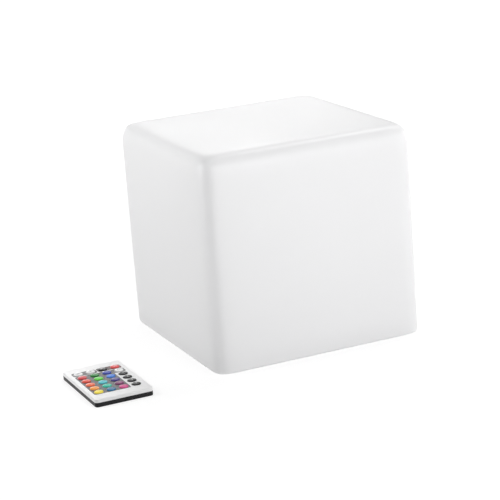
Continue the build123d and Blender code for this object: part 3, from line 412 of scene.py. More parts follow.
@dataclass
class SharedEffects:
    """The node groups that more than one finish uses, each built once.

    Attributes:
        swell_share: scale of the wide swell, as a share of the grain's.
        middle: the values of a noise that become 0 and 1.
        mark_cells: cells of the fine noise to a patch of marks.
        mark_stretch: how the fine noise is squeezed along X, Y and Z.
        mark_peaks: the values of the fine noise that become 0 and 1.
        mark_patches: the same of the wide noise.
    """

    swell_share: float = 0.02
    middle: tuple[float, float] = (0.3, 0.7)
    mark_cells: float = 8.0
    mark_stretch: Triple = (1.0, 0.35, 0.6)
    mark_peaks: tuple[float, float] = (0.60, 0.72)
    mark_patches: tuple[float, float] = (0.5, 0.65)

    def __post_init__(self) -> None:
        """Builds every group."""
        self.groups = {
            "moulded": self.moulded(),
            "drawn": self.drawn(),
            "handled": self.handled(),
            "panel": self.panel(),
        }

    def place(self, bench: Bench, name: str, **inputs: Value) -> dict[str, Socket]:
        """Puts a group into a material.

        Args:
            bench: the material's bench.
            name: which group.
            **inputs: its inputs, with _ for a space.

        Returns:
            Its outputs by name.
        """
        node = bench.node("Group", node_tree=self.groups[name])
        for key, value in inputs.items():
            bench.feed(node.inputs[key.replace("_", " ")], value)
        return {socket.name: socket for socket in node.outputs}

    def moulded(self) -> bpy.types.NodeTree:
        """Grain of a moulded surface: fine noise times its depth, over a wide, shallow swell.

        Returns:
            The group's tree.
        """
        bench, given, made = start_group(
            "moulded_grain",
            {"Vector": ("Vector", 0.0), "Grain": ("Float", 1500.0), "Depth": ("Float", 1e-5)},
            {"Height": "Float", "Mottle": "Float"},
        )
        fine = bench.noise(given.outputs["Vector"], given.outputs["Grain"], detail=3.0, roughness=0.6)
        wide = bench.maths("MULTIPLY", given.outputs["Grain"], self.swell_share)
        swell = bench.noise(given.outputs["Vector"], wide, detail=2.0)
        height = bench.maths("MULTIPLY", fine, given.outputs["Depth"])
        bench.feed(made.inputs["Height"], height)
        bench.feed(made.inputs["Mottle"], bench.remap(swell, *self.middle, 0.0, 1.0, smooth=True))
        return bench.tree

    def drawn(self) -> bpy.types.NodeTree:
        """Lines of drawn or brushed metal: noise in a space that is squeezed across the lines.

        Returns:
            The group's tree.
        """
        bench, given, made = start_group(
            "drawn_lines",
            {"Vector": ("Vector", 0.0), "Squeeze": ("Vector", 0.0), "Depth": ("Float", 2e-6)},
            {"Height": "Float", "Streak": "Float"},
        )
        squeezed = bench.vector("MULTIPLY", given.outputs["Vector"], given.outputs["Squeeze"])
        streak = bench.noise(squeezed, 1.0, detail=4.0, roughness=0.65)
        bench.feed(made.inputs["Height"], bench.maths("MULTIPLY", streak, given.outputs["Depth"]))
        bench.feed(made.inputs["Streak"], bench.remap(streak, *self.middle, 0.0, 1.0))
        return bench.tree

    def handled(self) -> bpy.types.NodeTree:
        """Faint marks of handling: thin peaks of a stretched noise, kept to patches of a wide one.

        Returns:
            The group's tree.
        """
        bench, given, made = start_group(
            "handling_marks",
            {"Vector": ("Vector", 0.0), "Size": ("Float", 0.01), "Amount": ("Float", 0.5)},
            {"Mask": "Float"},
        )
        stretch = bench.vector("MULTIPLY", given.outputs["Vector"], self.mark_stretch)
        cells = bench.maths("DIVIDE", self.mark_cells, given.outputs["Size"])
        line = bench.noise(stretch, cells, detail=5.0, roughness=0.7)
        patch = bench.noise(given.outputs["Vector"], bench.maths("DIVIDE", 1.0, given.outputs["Size"]))
        peak = bench.remap(line, *self.mark_peaks, 0.0, 1.0, smooth=True)
        spread = bench.remap(patch, *self.mark_patches, 0.0, 1.0, smooth=True)
        kept = bench.maths("MULTIPLY", peak, spread)
        bench.feed(made.inputs["Mask"], bench.maths("MULTIPLY", kept, given.outputs["Amount"]))
        return bench.tree

    def panel(self) -> bpy.types.NodeTree:
        """Mask of a rectangle with round corners, from the distance to its outline in X and Y.

        The distance is the length of the part of |p - centre| - half + corner over zero, less corner.

        Returns:
            The group's tree.
        """
        bench, given, made = start_group(
            "round_panel",
            {"Vector": ("Vector", 0.0), "Centre": ("Vector", 0.0), "Half": ("Vector", 0.0),
             "Corner": ("Float", 0.002), "Blur": ("Float", 5e-5)},
            {"Mask": "Float"},
        )
        away = bench.vector("SUBTRACT", given.outputs["Vector"], given.outputs["Centre"])
        inner = bench.vector("SUBTRACT", given.outputs["Half"], given.outputs["Corner"])
        over = bench.vector("SUBTRACT", bench.vector("ABSOLUTE", away), inner)
        flat = bench.vector("MULTIPLY", bench.vector("MAXIMUM", over, (0.0, 0.0, 0.0)), (1.0, 1.0, 0.0))
        length = bench.node("VectorMath", {0: flat}, operation="LENGTH").outputs["Value"]
        edge = bench.maths("SUBTRACT", given.outputs["Corner"], length)
        share = bench.maths("DIVIDE", edge, given.outputs["Blur"])
        bench.feed(made.inputs["Mask"], bench.maths("ADD", share, 0.5, clamp=True))
        return bench.tree


def middle_and_half(low: Sequence[float], high: Sequence[float]) -> dict[str, tuple[float, ...]]:
    """The panel group's inputs for a rectangle in X and Y.

    Args:
        low: its lowest corner.
        high: its highest corner.

    Returns:
        Centre and Half, with 0 for Z.
    """
    return {
        "Centre": ((low[0] + high[0]) / 2.0, (low[1] + high[1]) / 2.0, 0.0),
        "Half": ((high[0] - low[0]) / 2.0, (high[1] - low[1]) / 2.0, 0.0),
    }


# ---------------------------------------- finishes

class Texture(Enum):
    """What the touch of a surface comes from."""

    MOULDED = "moulded"
    DRAWN_X = "drawn along X"
    DRAWN_Y = "drawn along Y"
    TURNED = "turned"


LINE_SQUEEZE = {
    Texture.DRAWN_X: (60.0, 6000.0, 6000.0),
    Texture.DRAWN_Y: (6000.0, 60.0, 6000.0),
    Texture.TURNED: (2500.0, 2500.0, 9000.0),
}


@dataclass(frozen=True)
class Ground:
    """What a finish works its colour out from.

    Attributes:
        bench: the material's bench.
        place: the Object coordinates.
        effects: the shared node groups.
        base: the slot's colour, linear.
    """

    bench: Bench
    place: Socket
    effects: SharedEffects
    base: tuple[float, ...]

    def part(self, axis: str) -> Socket:
        """One of the three coordinates, by its letter."""
        return self.bench.part(self.place, axis)


@dataclass(frozen=True)
class Finish:
    """A finish of one material all through.

    Attributes:
        texture: what its touch comes from.
        roughness: mean roughness.
        metallic: 1 for a metal.
        grain: cells to a metre of its finest grain.
        depth: height of that grain in metres.
        mottle: share by which its colour swells and fades.
        marks: amount of handling marks, which are rougher and paler.
        mark_size: size of a patch of marks in metres.
        mark_colour: colour that the marks fade the surface towards.
        mark_share: how far they fade it and roughen it at the most.
        swing: share by which the roughness swells.
        coat: weight of a clear coat.
        coat_roughness: its roughness.
        shine: level of the plain gloss, 0.5 for hard plastic and less for rubber.
        soft: weight of light that goes into the surface and comes out again.
        soft_reach: how far that light goes, in metres.
        clear: weight of light that goes straight through.
    """

    texture: Texture = Texture.MOULDED
    roughness: float = 0.5
    metallic: float = 0.0
    grain: float = 2500.0
    depth: float = 8e-6
    mottle: float = 0.03
    marks: float = 0.3
    mark_size: float = 0.02
    mark_colour: Triple = (0.7, 0.7, 0.7)
    mark_share: float = 0.25
    swing: float = 0.08
    coat: float = 0.0
    coat_roughness: float = 0.15
    shine: float = 0.5
    soft: float = 0.0
    soft_reach: float = 0.0005
    clear: float = 0.0

    def colour_nodes(self, ground: Ground) -> Value:
        """The colour before swell and marks, which is the base all over."""
        return ground.base

    def metal_nodes(self, ground: Ground) -> Value:
        """How metallic the surface is."""
        return self.metallic

    def material(self, name: str, base: tuple[float, ...], effects: SharedEffects) -> bpy.types.Material:
        """Builds the material.

        The colour is the base's, darker or paler by the mottle. The roughness rises with the mottle and
        with the marks. The bump is the texture's height in metres.

        Args:
            name: the material's name.
            base: its colour, linear.
            effects: the shared node groups.

        Returns:
            The new material.
        """
        material = bpy.data.materials.new(name)
        material.use_nodes = True
        bench = Bench(material.node_tree)
        shader = material.node_tree.nodes["Principled BSDF"]
        place = bench.node("TexCoord").outputs["Object"]
        ground = Ground(bench, place, effects, base)
        if self.texture is Texture.MOULDED:
            touch = effects.place(bench, "moulded", Vector=place, Grain=self.grain, Depth=self.depth)
            swell = touch["Mottle"]
        else:
            squeeze = LINE_SQUEEZE[self.texture]
            touch = effects.place(bench, "drawn", Vector=place, Squeeze=squeeze, Depth=self.depth)
            swell = touch["Streak"]
        handled = effects.place(bench, "handled", Vector=place, Size=self.mark_size, Amount=self.marks)
        marks = handled["Mask"]
        colour = self.colour_nodes(ground)
        deep = bench.vector("SCALE", colour)
        deep.node.inputs["Scale"].default_value = 1.0 - self.mottle
        swelled = bench.tint(swell, deep, colour)
        worn = bench.tint(bench.maths("MULTIPLY", marks, self.mark_share), swelled, self.mark_colour)
        bench.feed(shader.inputs["Base Color"], worn)
        smoothest, roughest = self.roughness * (1.0 - self.swing), self.roughness * (1.0 + self.swing)
        rough = bench.remap(swell, 0.0, 1.0, smoothest, roughest)
        rougher = bench.maths("MULTIPLY_ADD", marks, self.mark_share, rough, clamp=True)
        bench.feed(shader.inputs["Roughness"], rougher)
        bump = bench.node("Bump", {"Height": touch["Height"], "Distance": 1.0, "Strength": 1.0})
        bench.feed(shader.inputs["Normal"], bump.outputs["Normal"])
        bench.feed(shader.inputs["Metallic"], self.metal_nodes(ground))
        plain = {
            "Coat Weight": self.coat, "Coat Roughness": self.coat_roughness,
            "Specular IOR Level": self.shine, "Subsurface Weight": self.soft, "Subsurface Radius": WHITE,
            "Subsurface Scale": self.soft_reach, "Transmission Weight": self.clear,
        }
        for socket, value in plain.items():
            shader.inputs[socket].default_value = value
        return material


@dataclass(frozen=True)
class GlowRimKeyFinish(Finish):
    """Silicone in its base colour in the middle of a key, with painted light towards the rim: paler where
    the dome thins, standing in for light that shows through it.

    Attributes:
        top: height of the keys' tops.
        crown: rise of their domes.
        rim_glow_share: share of the way to white that the rim of a bright key goes.
    """

    top: float = 0.0
    crown: float = 0.6 * MM
    rim_glow_share: float = 0.1

    def colour_nodes(self, ground: Ground) -> Value:
        """The base colour at the top, with painted light lower down: paler by the share of the crown's rise
        that is left below, for light through the thinning dome.

        Args:
            ground: what it is worked out from.

        Returns:
            The colour.
        """
        # Painted light: the paler rim colour stands in for light that shows through the thin silicone at
        # the dome's edge.
        brightest = max(ground.base)
        rim = tuple(part + (1.0 - part) * self.rim_glow_share * brightest for part in ground.base)
        foot = self.top - self.crown
        share = ground.bench.remap(ground.part("Z"), foot, self.top, 0.0, 1.0, smooth=True)
        return ground.bench.tint(share, rim, ground.base)


@dataclass(frozen=True)
class BoardFinish(Finish):
    """Board laminate under a lacquer: a fine weave, and tracks that show as paler lines.

    Attributes:
        track_pitch: distance between tracks in metres.
        track_tint: how much paler the tracks are.
        track_colour: colour that they fade towards.
        track_edge: the values of the wave that become 0 and 1.
        bends: bends of the tracks to a metre.
        bend_shift: how far a bend goes, in metres.
        fields: fields to a metre in which the tracks run one way.
        field_edge: the values of the fields' noise that become 0 and 1.
    """

    track_pitch: float = 0.0032
    track_tint: float = 0.12
    track_colour: Triple = (0.75, 0.85, 0.55)
    track_edge: tuple[float, float] = (0.72, 0.80)
    bends: float = 60.0
    bend_shift: float = 0.01
    fields: float = 90.0
    field_edge: tuple[float, float] = (0.48, 0.52)

    def colour_nodes(self, ground: Ground) -> Value:
        """Thin lines where a bent sine wave in X or Y is near its top, paler than the base colour.

        Args:
            ground: what it is worked out from.

        Returns:
            The colour.
        """
        bench, place = ground.bench, ground.place
        bent = bench.node("TexNoise", {"Vector": place, "Scale": self.bends, "Detail": 0.0})
        reach = (self.bend_shift, self.bend_shift, 0.0)
        moved = bench.vector("ADD", place, bench.vector("MULTIPLY", bent.outputs["Color"], reach))
        turns = 2.0 * math.pi / self.track_pitch
        wave = bench.maths("SINE", bench.maths("MULTIPLY", bench.part(moved, "X"), turns))
        cross = bench.maths("SINE", bench.maths("MULTIPLY", bench.part(moved, "Y"), turns))
        pick = bench.remap(bench.noise(place, self.fields, detail=0.0), *self.field_edge, 0.0, 1.0)
        line = bench.maths("MULTIPLY_ADD", pick, bench.maths("SUBTRACT", wave, cross), cross)
        mask = bench.maths("MULTIPLY", bench.remap(line, *self.track_edge, 0.0, 1.0), self.track_tint)
        return bench.tint(mask, ground.base, self.track_colour)


@dataclass(frozen=True)
class ChipFinish(Finish):
    """A white LED package whose sunk well holds yellow resin.

    Attributes:
        well_height: height of the well's floor.
        well_edge: distances from that height at which the resin is full and gone.
        package: the package's white.
        resin: the resin's yellow.
    """

    well_height: float = 0.0
    well_edge: tuple[float, float] = (2e-5, 8e-5)
    package: Triple = (0.87, 0.87, 0.84)
    resin: Triple = (0.86, 0.66, 0.12)

    def colour_nodes(self, ground: Ground) -> Value:
        """Resin yellow at the height of the well's floor, white elsewhere.

        Args:
            ground: what it is worked out from.

        Returns:
            The colour.
        """
        bench = ground.bench
        off = bench.maths("ABSOLUTE", bench.maths("SUBTRACT", ground.part("Z"), self.well_height))
        return bench.tint(bench.remap(off, *self.well_edge, 1.0, 0.0), self.package, self.resin)


@dataclass(frozen=True)
class LeadFinish(Finish):
    """Insulation that is red on the +X side and black on the other."""

    def colour_nodes(self, ground: Ground) -> Value:
        """The base colour where X is over zero, black where it isn't."""
        right = ground.bench.maths("GREATER_THAN", ground.part("X"), 0.0)
        return ground.bench.tint(right, BLACK, ground.base)


@dataclass(frozen=True)
class CellFinish(Finish):
    """A shrink-wrapped cell with bare metal at both ends.

    Attributes:
        half_length: half of the cell's length.
        wrap_margin: how far from each end the wrap stops.
        nickel: colour of the bare ends.
    """

    half_length: float = 0.0325
    wrap_margin: float = 0.0012
    nickel: Triple = (0.62, 0.61, 0.58)

    def bare(self, ground: Ground) -> Socket:
        """1 on the bare ends."""
        reach = ground.bench.maths("ABSOLUTE", ground.part("X"))
        return ground.bench.maths("GREATER_THAN", reach, self.half_length - self.wrap_margin)

    def colour_nodes(self, ground: Ground) -> Value:
        """The wrap's colour, and nickel at the ends."""
        return ground.bench.tint(self.bare(ground), ground.base, self.nickel)

    def metal_nodes(self, ground: Ground) -> Value:
        """Metal only at the ends."""
        return self.bare(ground)


@dataclass(frozen=True)
class Panel:
    """A printed field on the handset's face.

    Attributes:
        low: lower left corner, in key pitches from the middle of the keys.
        high: upper right corner, likewise.
        ink: its colour, linear.
        far_ink: its colour at the right end.
    """

    low: tuple[float, float]
    high: tuple[float, float]
    ink: Triple
    far_ink: Triple


@dataclass(frozen=True)
class PrintedFinish(Finish):
    """White gloss plastic with printed fields under the keys.

    Attributes:
        panels: the fields.
        middle: the keys' middle (x, y, z), with z at the case's top.
        pitch: distance between the keys' columns and rows.
        corner: radius of the fields' corners.
        ink_depth: how far below the top the ink still shows.
    """

    panels: tuple[Panel, ...] = ()
    middle: Triple = (0.0, 0.0, 0.0)
    pitch: tuple[float, float] = (0.01, 0.01)
    corner: float = 0.0022
    ink_depth: float = 0.0001

    def colour_nodes(self, ground: Ground) -> Value:
        """Each field's ink over the white, only on the top face.

        Args:
            ground: what it is worked out from.

        Returns:
            The colour.
        """
        bench, place = ground.bench, ground.place
        x, y, top = self.middle
        on_top = bench.maths("GREATER_THAN", ground.part("Z"), top - self.ink_depth)
        colour: Value = ground.base
        for panel in self.panels:
            low = (x + panel.low[0] * self.pitch[0], y + panel.low[1] * self.pitch[1])
            high = (x + panel.high[0] * self.pitch[0], y + panel.high[1] * self.pitch[1])
            mask = ground.effects.place(bench, "panel", Vector=place, **middle_and_half(low, high),
                                        Corner=self.corner)
            share = bench.remap(ground.part("X"), low[0], high[0], 0.0, 1.0, smooth=True)
            ink = bench.tint(share, panel.ink, panel.far_ink)
            colour = bench.tint(bench.maths("MULTIPLY", mask["Mask"], on_top), colour, ink)
        return colour


# ---------------------------------------- sub-assemblies

@dataclass
class Paintshop:
    """Keeps each slot's material, made once from the record's colour.

    Attributes:
        effects: the shared node groups.
        finishes: the finish of each slot.
    """

    effects: SharedEffects
    finishes: dict[str, Finish] = field(default_factory=dict)

    def __post_init__(self) -> None:
        """Reads the slots' colours and the nodes' slots from the record."""
        record = frame["record"]
        self.colours = {entry["slot"]: tuple(entry["base_color"][:3]) for entry in record["materials"]}
        self.node_slots = {entry["node"]: entry["material_slot"] for entry in record["subparts"]}
        self.made: dict[str, bpy.types.Material] = {}

    def material(self, slot: str) -> bpy.types.Material:
        """The slot's material, built when it is first asked for.

        Args:
            slot: the material slot.

        Returns:
            Its material.
        """
        if slot not in self.made:
            self.made[slot] = self.finishes[slot].material(slot, self.colours[slot], self.effects)
        return self.made[slot]

    def paint(self, piece: bpy.types.Object, slot: str) -> None:
        """Gives a piece its slot's material all over."""
        piece.data.materials.clear()
        piece.data.materials.append(self.material(slot))

    def paint_nodes(self, finishes: dict[str, Finish], nodes: list[str]) -> None:
        """Takes up finishes and gives each named solid the one of its slot.

        Args:
            finishes: the finish of each new slot.
            nodes: the solids' names.
        """
        self.finishes.update(finishes)
        for name in nodes:
            self.paint(frame["nodes"][name], self.node_slots[name])
        log.info("finished %d solids: %s", len(nodes), ", ".join(nodes))


def square_rows(half: Array | float, corner: Array | float, height: Array | float) -> Array:
    """Rows of the cube's section whose rings are soft squares.

    Args:
        half: half width of each row, or of all.
        corner: corner reach, likewise.
        height: height, likewise.

    Returns:
        Rows (half width, corner reach, height, round form), the last 0.
    """
    return np.stack(np.broadcast_arrays(half, corner, height, 0.0), axis=1)


@dataclass
class CubeShell:
    """The hollow white cube: one closed skin, inside and out, with a boss over each insert.

    Attributes:
        wall: thickness of the wall.
        edge_reach: how far from an edge its rounding starts.
        fullness: exponent of the rounding, squarer than a circle.
        base_round: radius round the underside.
        lip_round: radius at the recess's mouth.
        recess_radius: radius of the recess in the underside.
        ledge_height: height of the ledge that the base is screwed to.
        opening_radius: radius of the hole in that ledge.
        groove: inner and outer radius of the foot ring's groove.
        groove_depth: its depth.
        boss_radius: radius of a boss.
        boss_top: height of the bosses' tops.
        boss_ring: radius of the ring that they stand on.
        boss_count: number of bosses.
        boss_rim: radius round a boss's top.
        boss_rim_steps: steps in that round.
        boss_points: points round a boss.
        flat_steps: steps along half a side of each ring.
        corner_steps: steps round each corner, and down the rounding of the lid.
        arc_steps: steps in a small round, such as the underside's and the lip's.
        side_rows: rows on the straight part of a side.
        lid_turn: how far down the rounding's rows go, in degrees of its t.
        lid_shares: the flat rows of the lid, as shares of the flat's half width.
        lid_corner: corner of such a row, as a share of the reach.
    """

    wall: float = 3.5 * MM
    edge_reach: float = 50.0 * MM
    fullness: float = 9.0
    base_round: float = 3.0 * MM
    lip_round: float = 1.5 * MM
    recess_radius: float = 71.5 * MM
    ledge_height: float = 25.2 * MM
    opening_radius: float = 55.5 * MM
    groove: tuple[float, float] = (77.8 * MM, 86.2 * MM)
    groove_depth: float = 1.3 * MM
    boss_radius: float = 5.5 * MM
    boss_top: float = 34.7 * MM
    boss_ring: float = 63.5 * MM
    boss_count: int = 6
    boss_rim: float = 1.0 * MM
    boss_rim_steps: int = 5
    boss_points: int = 32
    flat_steps: int = 12
    corner_steps: int = 24
    arc_steps: int = 4
    side_rows: int = 8
    lid_turn: float = 87.0
    lid_shares: tuple[float, ...] = (0.2, 0.4, 0.6, 0.8, 0.93)
    lid_corner: float = 0.2

    def __post_init__(self) -> None:
        """Takes the outer size from the solid."""
        low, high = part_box("cube_shell")
        self.half = (high.x - low.x) / 2.0
        self.bottom, self.top = low.z, high.z

    def rounded_lid(self, half: float, reach: float, top: float) -> Array:
        """Rows from the flat top's middle to the foot of the rounding.

        On the flat, a ring's half width and corner grow together. On the rounding, both go out with the
        full arc while the height goes down with it.

        Args:
            half: half width of the cube, inside or outside.
            reach: how far from the edge the rounding starts there.
            top: height of the flat.

        Returns:
            Rows (half width, corner reach, height, round form).
        """
        core = half - reach
        share = np.array(self.lid_shares)
        flat = square_rows(core * share, self.lid_corner * reach * share, top)
        arc = reach * full_arc(self.corner_steps, self.fullness, turn=self.lid_turn)[::-1]
        rounding = square_rows(core + arc[:, 0], arc[:, 0], top - reach + arc[:, 1])
        return np.concatenate([flat, rounding])

    def lower_round(self, half: float, corner: float, height: float) -> Array:
        """Rows of the quarter circle at the foot of a side, going down and in.

        The half width and corner shrink by radius * (1 - cos t) while the height sinks by radius * sin t.

        Args:
            half: the half width at the widest row.
            corner: the corner reach there.
            height: the height of that row.

        Returns:
            Rows (half width, corner reach, height, round form).
        """
        angle = np.radians(np.linspace(0.0, 90.0, self.arc_steps + 1))
        inset = self.base_round * (1.0 - np.cos(angle))
        return square_rows(half - inset, corner - inset, height - self.base_round * np.sin(angle))

    def section_rows(self) -> Array:
        """The whole section, from the top's middle down the outside, through the recess and up the inside
        to the ceiling's middle.

        Returns:
            Rows (half width, corner reach, height, round form), the last 0 for square and 1 for circle.
        """
        inner_half, inner_reach = self.half - self.wall, self.edge_reach - self.wall
        foot = self.bottom + self.base_round
        floor = self.bottom + self.wall
        groove_in, groove_out = self.groove
        groove_top = self.bottom + self.groove_depth
        dish, recess = self.recess_radius + self.wall, self.recess_radius
        inner_foot, inner_top = floor + self.base_round, self.top - self.wall
        side = np.linspace(self.top - self.edge_reach, foot, self.side_rows + 2)[1:-1]
        inner_side = np.linspace(inner_foot, inner_top - inner_reach, self.side_rows + 2)[1:-1]
        circles = [
            (groove_out, self.bottom), (groove_out, groove_top), (groove_in, groove_top),
            (groove_in, self.bottom), (recess + self.lip_round, self.bottom),
        ]
        lip = np.radians(np.linspace(0.0, 90.0, self.arc_steps + 1))[1:]
        circles += list(zip(recess + self.lip_round * (1.0 - np.sin(lip)),
                            self.bottom + self.lip_round * (1.0 - np.cos(lip))))
        circles += [
            (recess, self.ledge_height), (self.opening_radius, self.ledge_height),
            (self.opening_radius, self.ledge_height + self.wall), (dish, self.ledge_height + self.wall),
            (dish, floor),
        ]
        return np.concatenate([
            self.rounded_lid(self.half, self.edge_reach, self.top),
            square_rows(self.half, self.edge_reach, side),
            self.lower_round(self.half, self.edge_reach, foot),
            np.array([(radius, self.edge_reach, height, 1.0) for radius, height in circles]),
            self.lower_round(inner_half, inner_reach, inner_foot)[::-1],
            square_rows(inner_half, inner_reach, inner_side),
            self.rounded_lid(inner_half, inner_reach, inner_top)[::-1],
        ])

    def skin(self) -> Shape:
        """The skin: each row's soft square, blended towards the circle of the same half width by its
        round form, at the row's height.

        Returns:
            The points and the faces.
        """
        rows = self.section_rows()
        steps = (self.flat_steps, self.corner_steps, self.fullness)
        squares = soft_square_rings(rows[:, 0], rows[:, 1], *steps)
        usual = soft_square_rings(np.array([self.half]), np.array([self.edge_reach]), *steps)[0]
        direction = usual / np.linalg.norm(usual, axis=1, keepdims=True)
        circles = rows[:, None, :1] * direction[None, :, :]
        share = rows[:, None, 3:]
        flat = squares * (1.0 - share) + circles * share
        top, ceiling = np.array([0.0, 0.0, self.top]), np.array([0.0, 0.0, self.top - self.wall])
        return skin_with_poles(lifted(flat, rows[:, 2]), top, ceiling)

    def bosses(self) -> Shape:
        """A round post with a rounded top for each insert, standing on the ledge.

        Returns:
            The points and the faces of all the bosses.
        """
        foot = self.ledge_height + self.wall / 2.0
        rim = full_arc(self.boss_rim_steps, CIRCLE)[::-1] * self.boss_rim
        rim = rim + np.array([self.boss_radius, self.boss_top]) - self.boss_rim
        profile = np.concatenate([[[0.0, self.boss_top]], rim, [[self.boss_radius, foot], [0.0, foot]]])
        centres = even_directions(self.boss_count) * self.boss_ring
        return joined([lathe(profile, np.array([x, y, 0.0]), self.boss_points) for x, y in centres])

    def build(self, shop: Paintshop) -> None:
        """Makes both pieces and dresses them.

        Args:
            shop: the slots' materials.
        """
        shop.finishes["shell_plastic"] = Finish(
            roughness=0.42, grain=900.0, depth=1.2e-5, mottle=0.006, marks=0.08, mark_size=0.03,
            soft=1.0, soft_reach=2.5 * MM,
        )
        skin = make_piece("moulded_shell", self.skin(), "lamp")
        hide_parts("cube_shell")
        shop.paint(skin, "shell_plastic")
        bosses = make_piece("shell_bosses", self.bosses(), "lamp")
        shop.paint(bosses, "shell_plastic")


@dataclass
class BaseUnit:
    """What closes the cube underneath: foot ring, seals, cover, screws, button and charging socket."""

    def build(self, shop: Paintshop) -> None:
        """Dresses the solids of the base.

        Args:
            shop: the slots' materials.
        """
        shop.paint_nodes(
            {
                "foot_rubber": Finish(roughness=0.78, grain=3500.0, depth=1.6e-5, mottle=0.05, marks=0.6),
                "seal_rubber": Finish(roughness=0.6, grain=5000.0, depth=5e-6, mottle=0.06, marks=0.1),
                "insert_brass": Finish(Texture.TURNED, roughness=0.32, metallic=1.0, depth=6e-6,
                                       mottle=0.12),
                "screw_steel": Finish(Texture.TURNED, roughness=0.28, metallic=1.0, depth=4e-6, mottle=0.1),
                "cover_plastic": Finish(roughness=0.55, grain=2200.0, depth=1.8e-5, mottle=0.03,
                                        marks=0.45),
                "button_plastic": Finish(roughness=0.35, grain=4000.0, depth=6e-6, mottle=0.02, marks=0.25),
                "port_rubber": Finish(roughness=0.7, grain=4500.0, depth=1.2e-5, mottle=0.05, marks=0.5),
                "pin_steel": Finish(Texture.DRAWN_Y, roughness=0.18, metallic=1.0, depth=2e-6, mottle=0.06),
                "jack_plastic": Finish(roughness=0.4, grain=5000.0, depth=5e-6, mottle=0.08, marks=0.1),
                "switch_plastic": Finish(roughness=0.45, grain=5000.0, depth=5e-6, mottle=0.08, marks=0.1),
                "lens_acrylic": Finish(roughness=0.12, grain=1200.0, depth=2e-6, mottle=0.02, marks=0.1,
                                       coat=0.6, clear=0.85),
            },
            ["foot_ring", "threaded_inserts", "shell_gasket", "base_cover", "cover_seal", "base_screws",
             "power_button", "button_seal", "tact_switch", "switch_plunger", "dc_jack", "port_cover",
             "port_hinge_pin", "charge_lens"],
        )


@dataclass
class LightEngine:
    """The housing, its boards, chips and dome, with the cell and the driver.

    Attributes:
        chip_well: depth of the well in a chip's top.
    """

    chip_well: float = 0.3 * MM

    def build(self, shop: Paintshop) -> None:
        """Dresses the solids inside the cube.

        Args:
            shop: the slots' materials.
        """
        chips_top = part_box("led_chips")[1].z
        cell_low, cell_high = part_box("battery_cell")
        shop.paint_nodes(
            {
                "housing_plastic": Finish(roughness=0.5, grain=2500.0, depth=1e-5, mottle=0.02, marks=0.15),
                "spreader_aluminium": Finish(Texture.DRAWN_X, roughness=0.38, metallic=1.0, depth=4e-6,
                                             mottle=0.08),
                "light_board": BoardFinish(roughness=0.35, grain=1800.0, depth=6e-6, mottle=0.02,
                                           track_tint=0.06),
                "led_package": ChipFinish(roughness=0.25, grain=6000.0, depth=3e-6, mottle=0.02, coat=0.4,
                                          well_height=chips_top - self.chip_well),
                "receiver_epoxy": Finish(roughness=0.12, grain=3000.0, depth=2e-6, mottle=0.1, coat=0.5),
                "dome_frosted": Finish(roughness=0.55, grain=3000.0, depth=8e-6, mottle=0.01, marks=0.1,
                                       soft=0.5, soft_reach=1.2 * MM),
                "driver_laminate": BoardFinish(roughness=0.3, grain=1800.0, depth=8e-6, mottle=0.08),
                "component_epoxy": Finish(roughness=0.6, grain=6000.0, depth=9e-6, mottle=0.12, marks=0.1),
                "cell_wrap": CellFinish(roughness=0.3, grain=400.0, depth=1.5e-5, mottle=0.08,
                                        half_length=(cell_high.x - cell_low.x) / 2.0),
                "cradle_plastic": Finish(roughness=0.5, grain=2500.0, depth=1.2e-5, mottle=0.1, marks=0.2),
                "lead_insulation": LeadFinish(roughness=0.4, grain=3000.0, depth=5e-6, mottle=0.05),
            },
            ["light_housing", "dome_seal", "heat_spreader", "led_board", "led_chips", "ir_receiver",
             "diffuser_dome", "module_screws", "driver_board", "driver_components", "battery_cell",
             "battery_cradle", "internal_leads"],
        )


@dataclass(frozen=True)
class Dome:
    """The crown of a key: a superellipse of revolution over a shoulder.

    Attributes:
        x: X of the key's axis.
        y: Y of the key's axis.
        shoulder: height where the crown starts.
        radius: radius there.
        crown: rise of the crown.
        fullness: exponent of its section.
    """

    x: float
    y: float
    shoulder: float
    radius: float
    crown: float
    fullness: float

    def height(self, points: Array) -> Array:
        """Height over points (..., 2) given from the key's axis: shoulder + crown (1 - r^n)^(1/n)."""
        share = np.clip(np.linalg.norm(points, axis=-1) / self.radius, 0.0, DOME_END)
        return self.shoulder + self.crown * (1.0 - share**self.fullness) ** (1.0 / self.fullness)


class Mark(Enum):
    """The plain mark that a key carries."""

    BRIGHTER = "large sun"
    DIMMER = "small sun"
    OFF = "OFF"
    ON = "ON"
    RING = "ring"
    ONE = "1"
    TWO = "2"
    THREE = "3"
    FOUR = "4"


# The mark of each key that carries one, and the radius of the marks' rings.
KEY_MARKS = {
    "brightness_up": Mark.BRIGHTER,
    "brightness_down": Mark.DIMMER,
    "off": Mark.OFF,
    "on": Mark.ON,
    "white": Mark.RING,
    "flash": Mark.ONE,
    "strobe": Mark.TWO,
    "fade": Mark.THREE,
    "smooth": Mark.FOUR,
}
RING_RADII = {
    Mark.BRIGHTER: 0.95 * MM,
    Mark.DIMMER: 0.65 * MM,
    Mark.RING: 1.25 * MM,
}


def oval(centre: tuple[float, float], size: tuple[float, float], start: float, end: float) -> Array:
    """Points of an oval's arc: centre + size * (cos t, sin t), with even t about STROKE_TURN apart.

    Args:
        centre: its middle.
        size: its half width and half height.
        start: the first t in degrees.
        end: the last t.

    Returns:
        Rows (x, y).
    """
    steps = round(abs(end - start) / STROKE_TURN)
    angle = np.radians(np.linspace(start, end, steps + 1))
    return np.array(centre) + np.array(size) * np.stack([np.cos(angle), np.sin(angle)], axis=1)


def closed_ring(centre: tuple[float, float], size: tuple[float, float]) -> Array:
    """The points of a whole oval, without the last, which is the first again."""
    return oval(centre, size, 0.0, 360.0)[:-1]


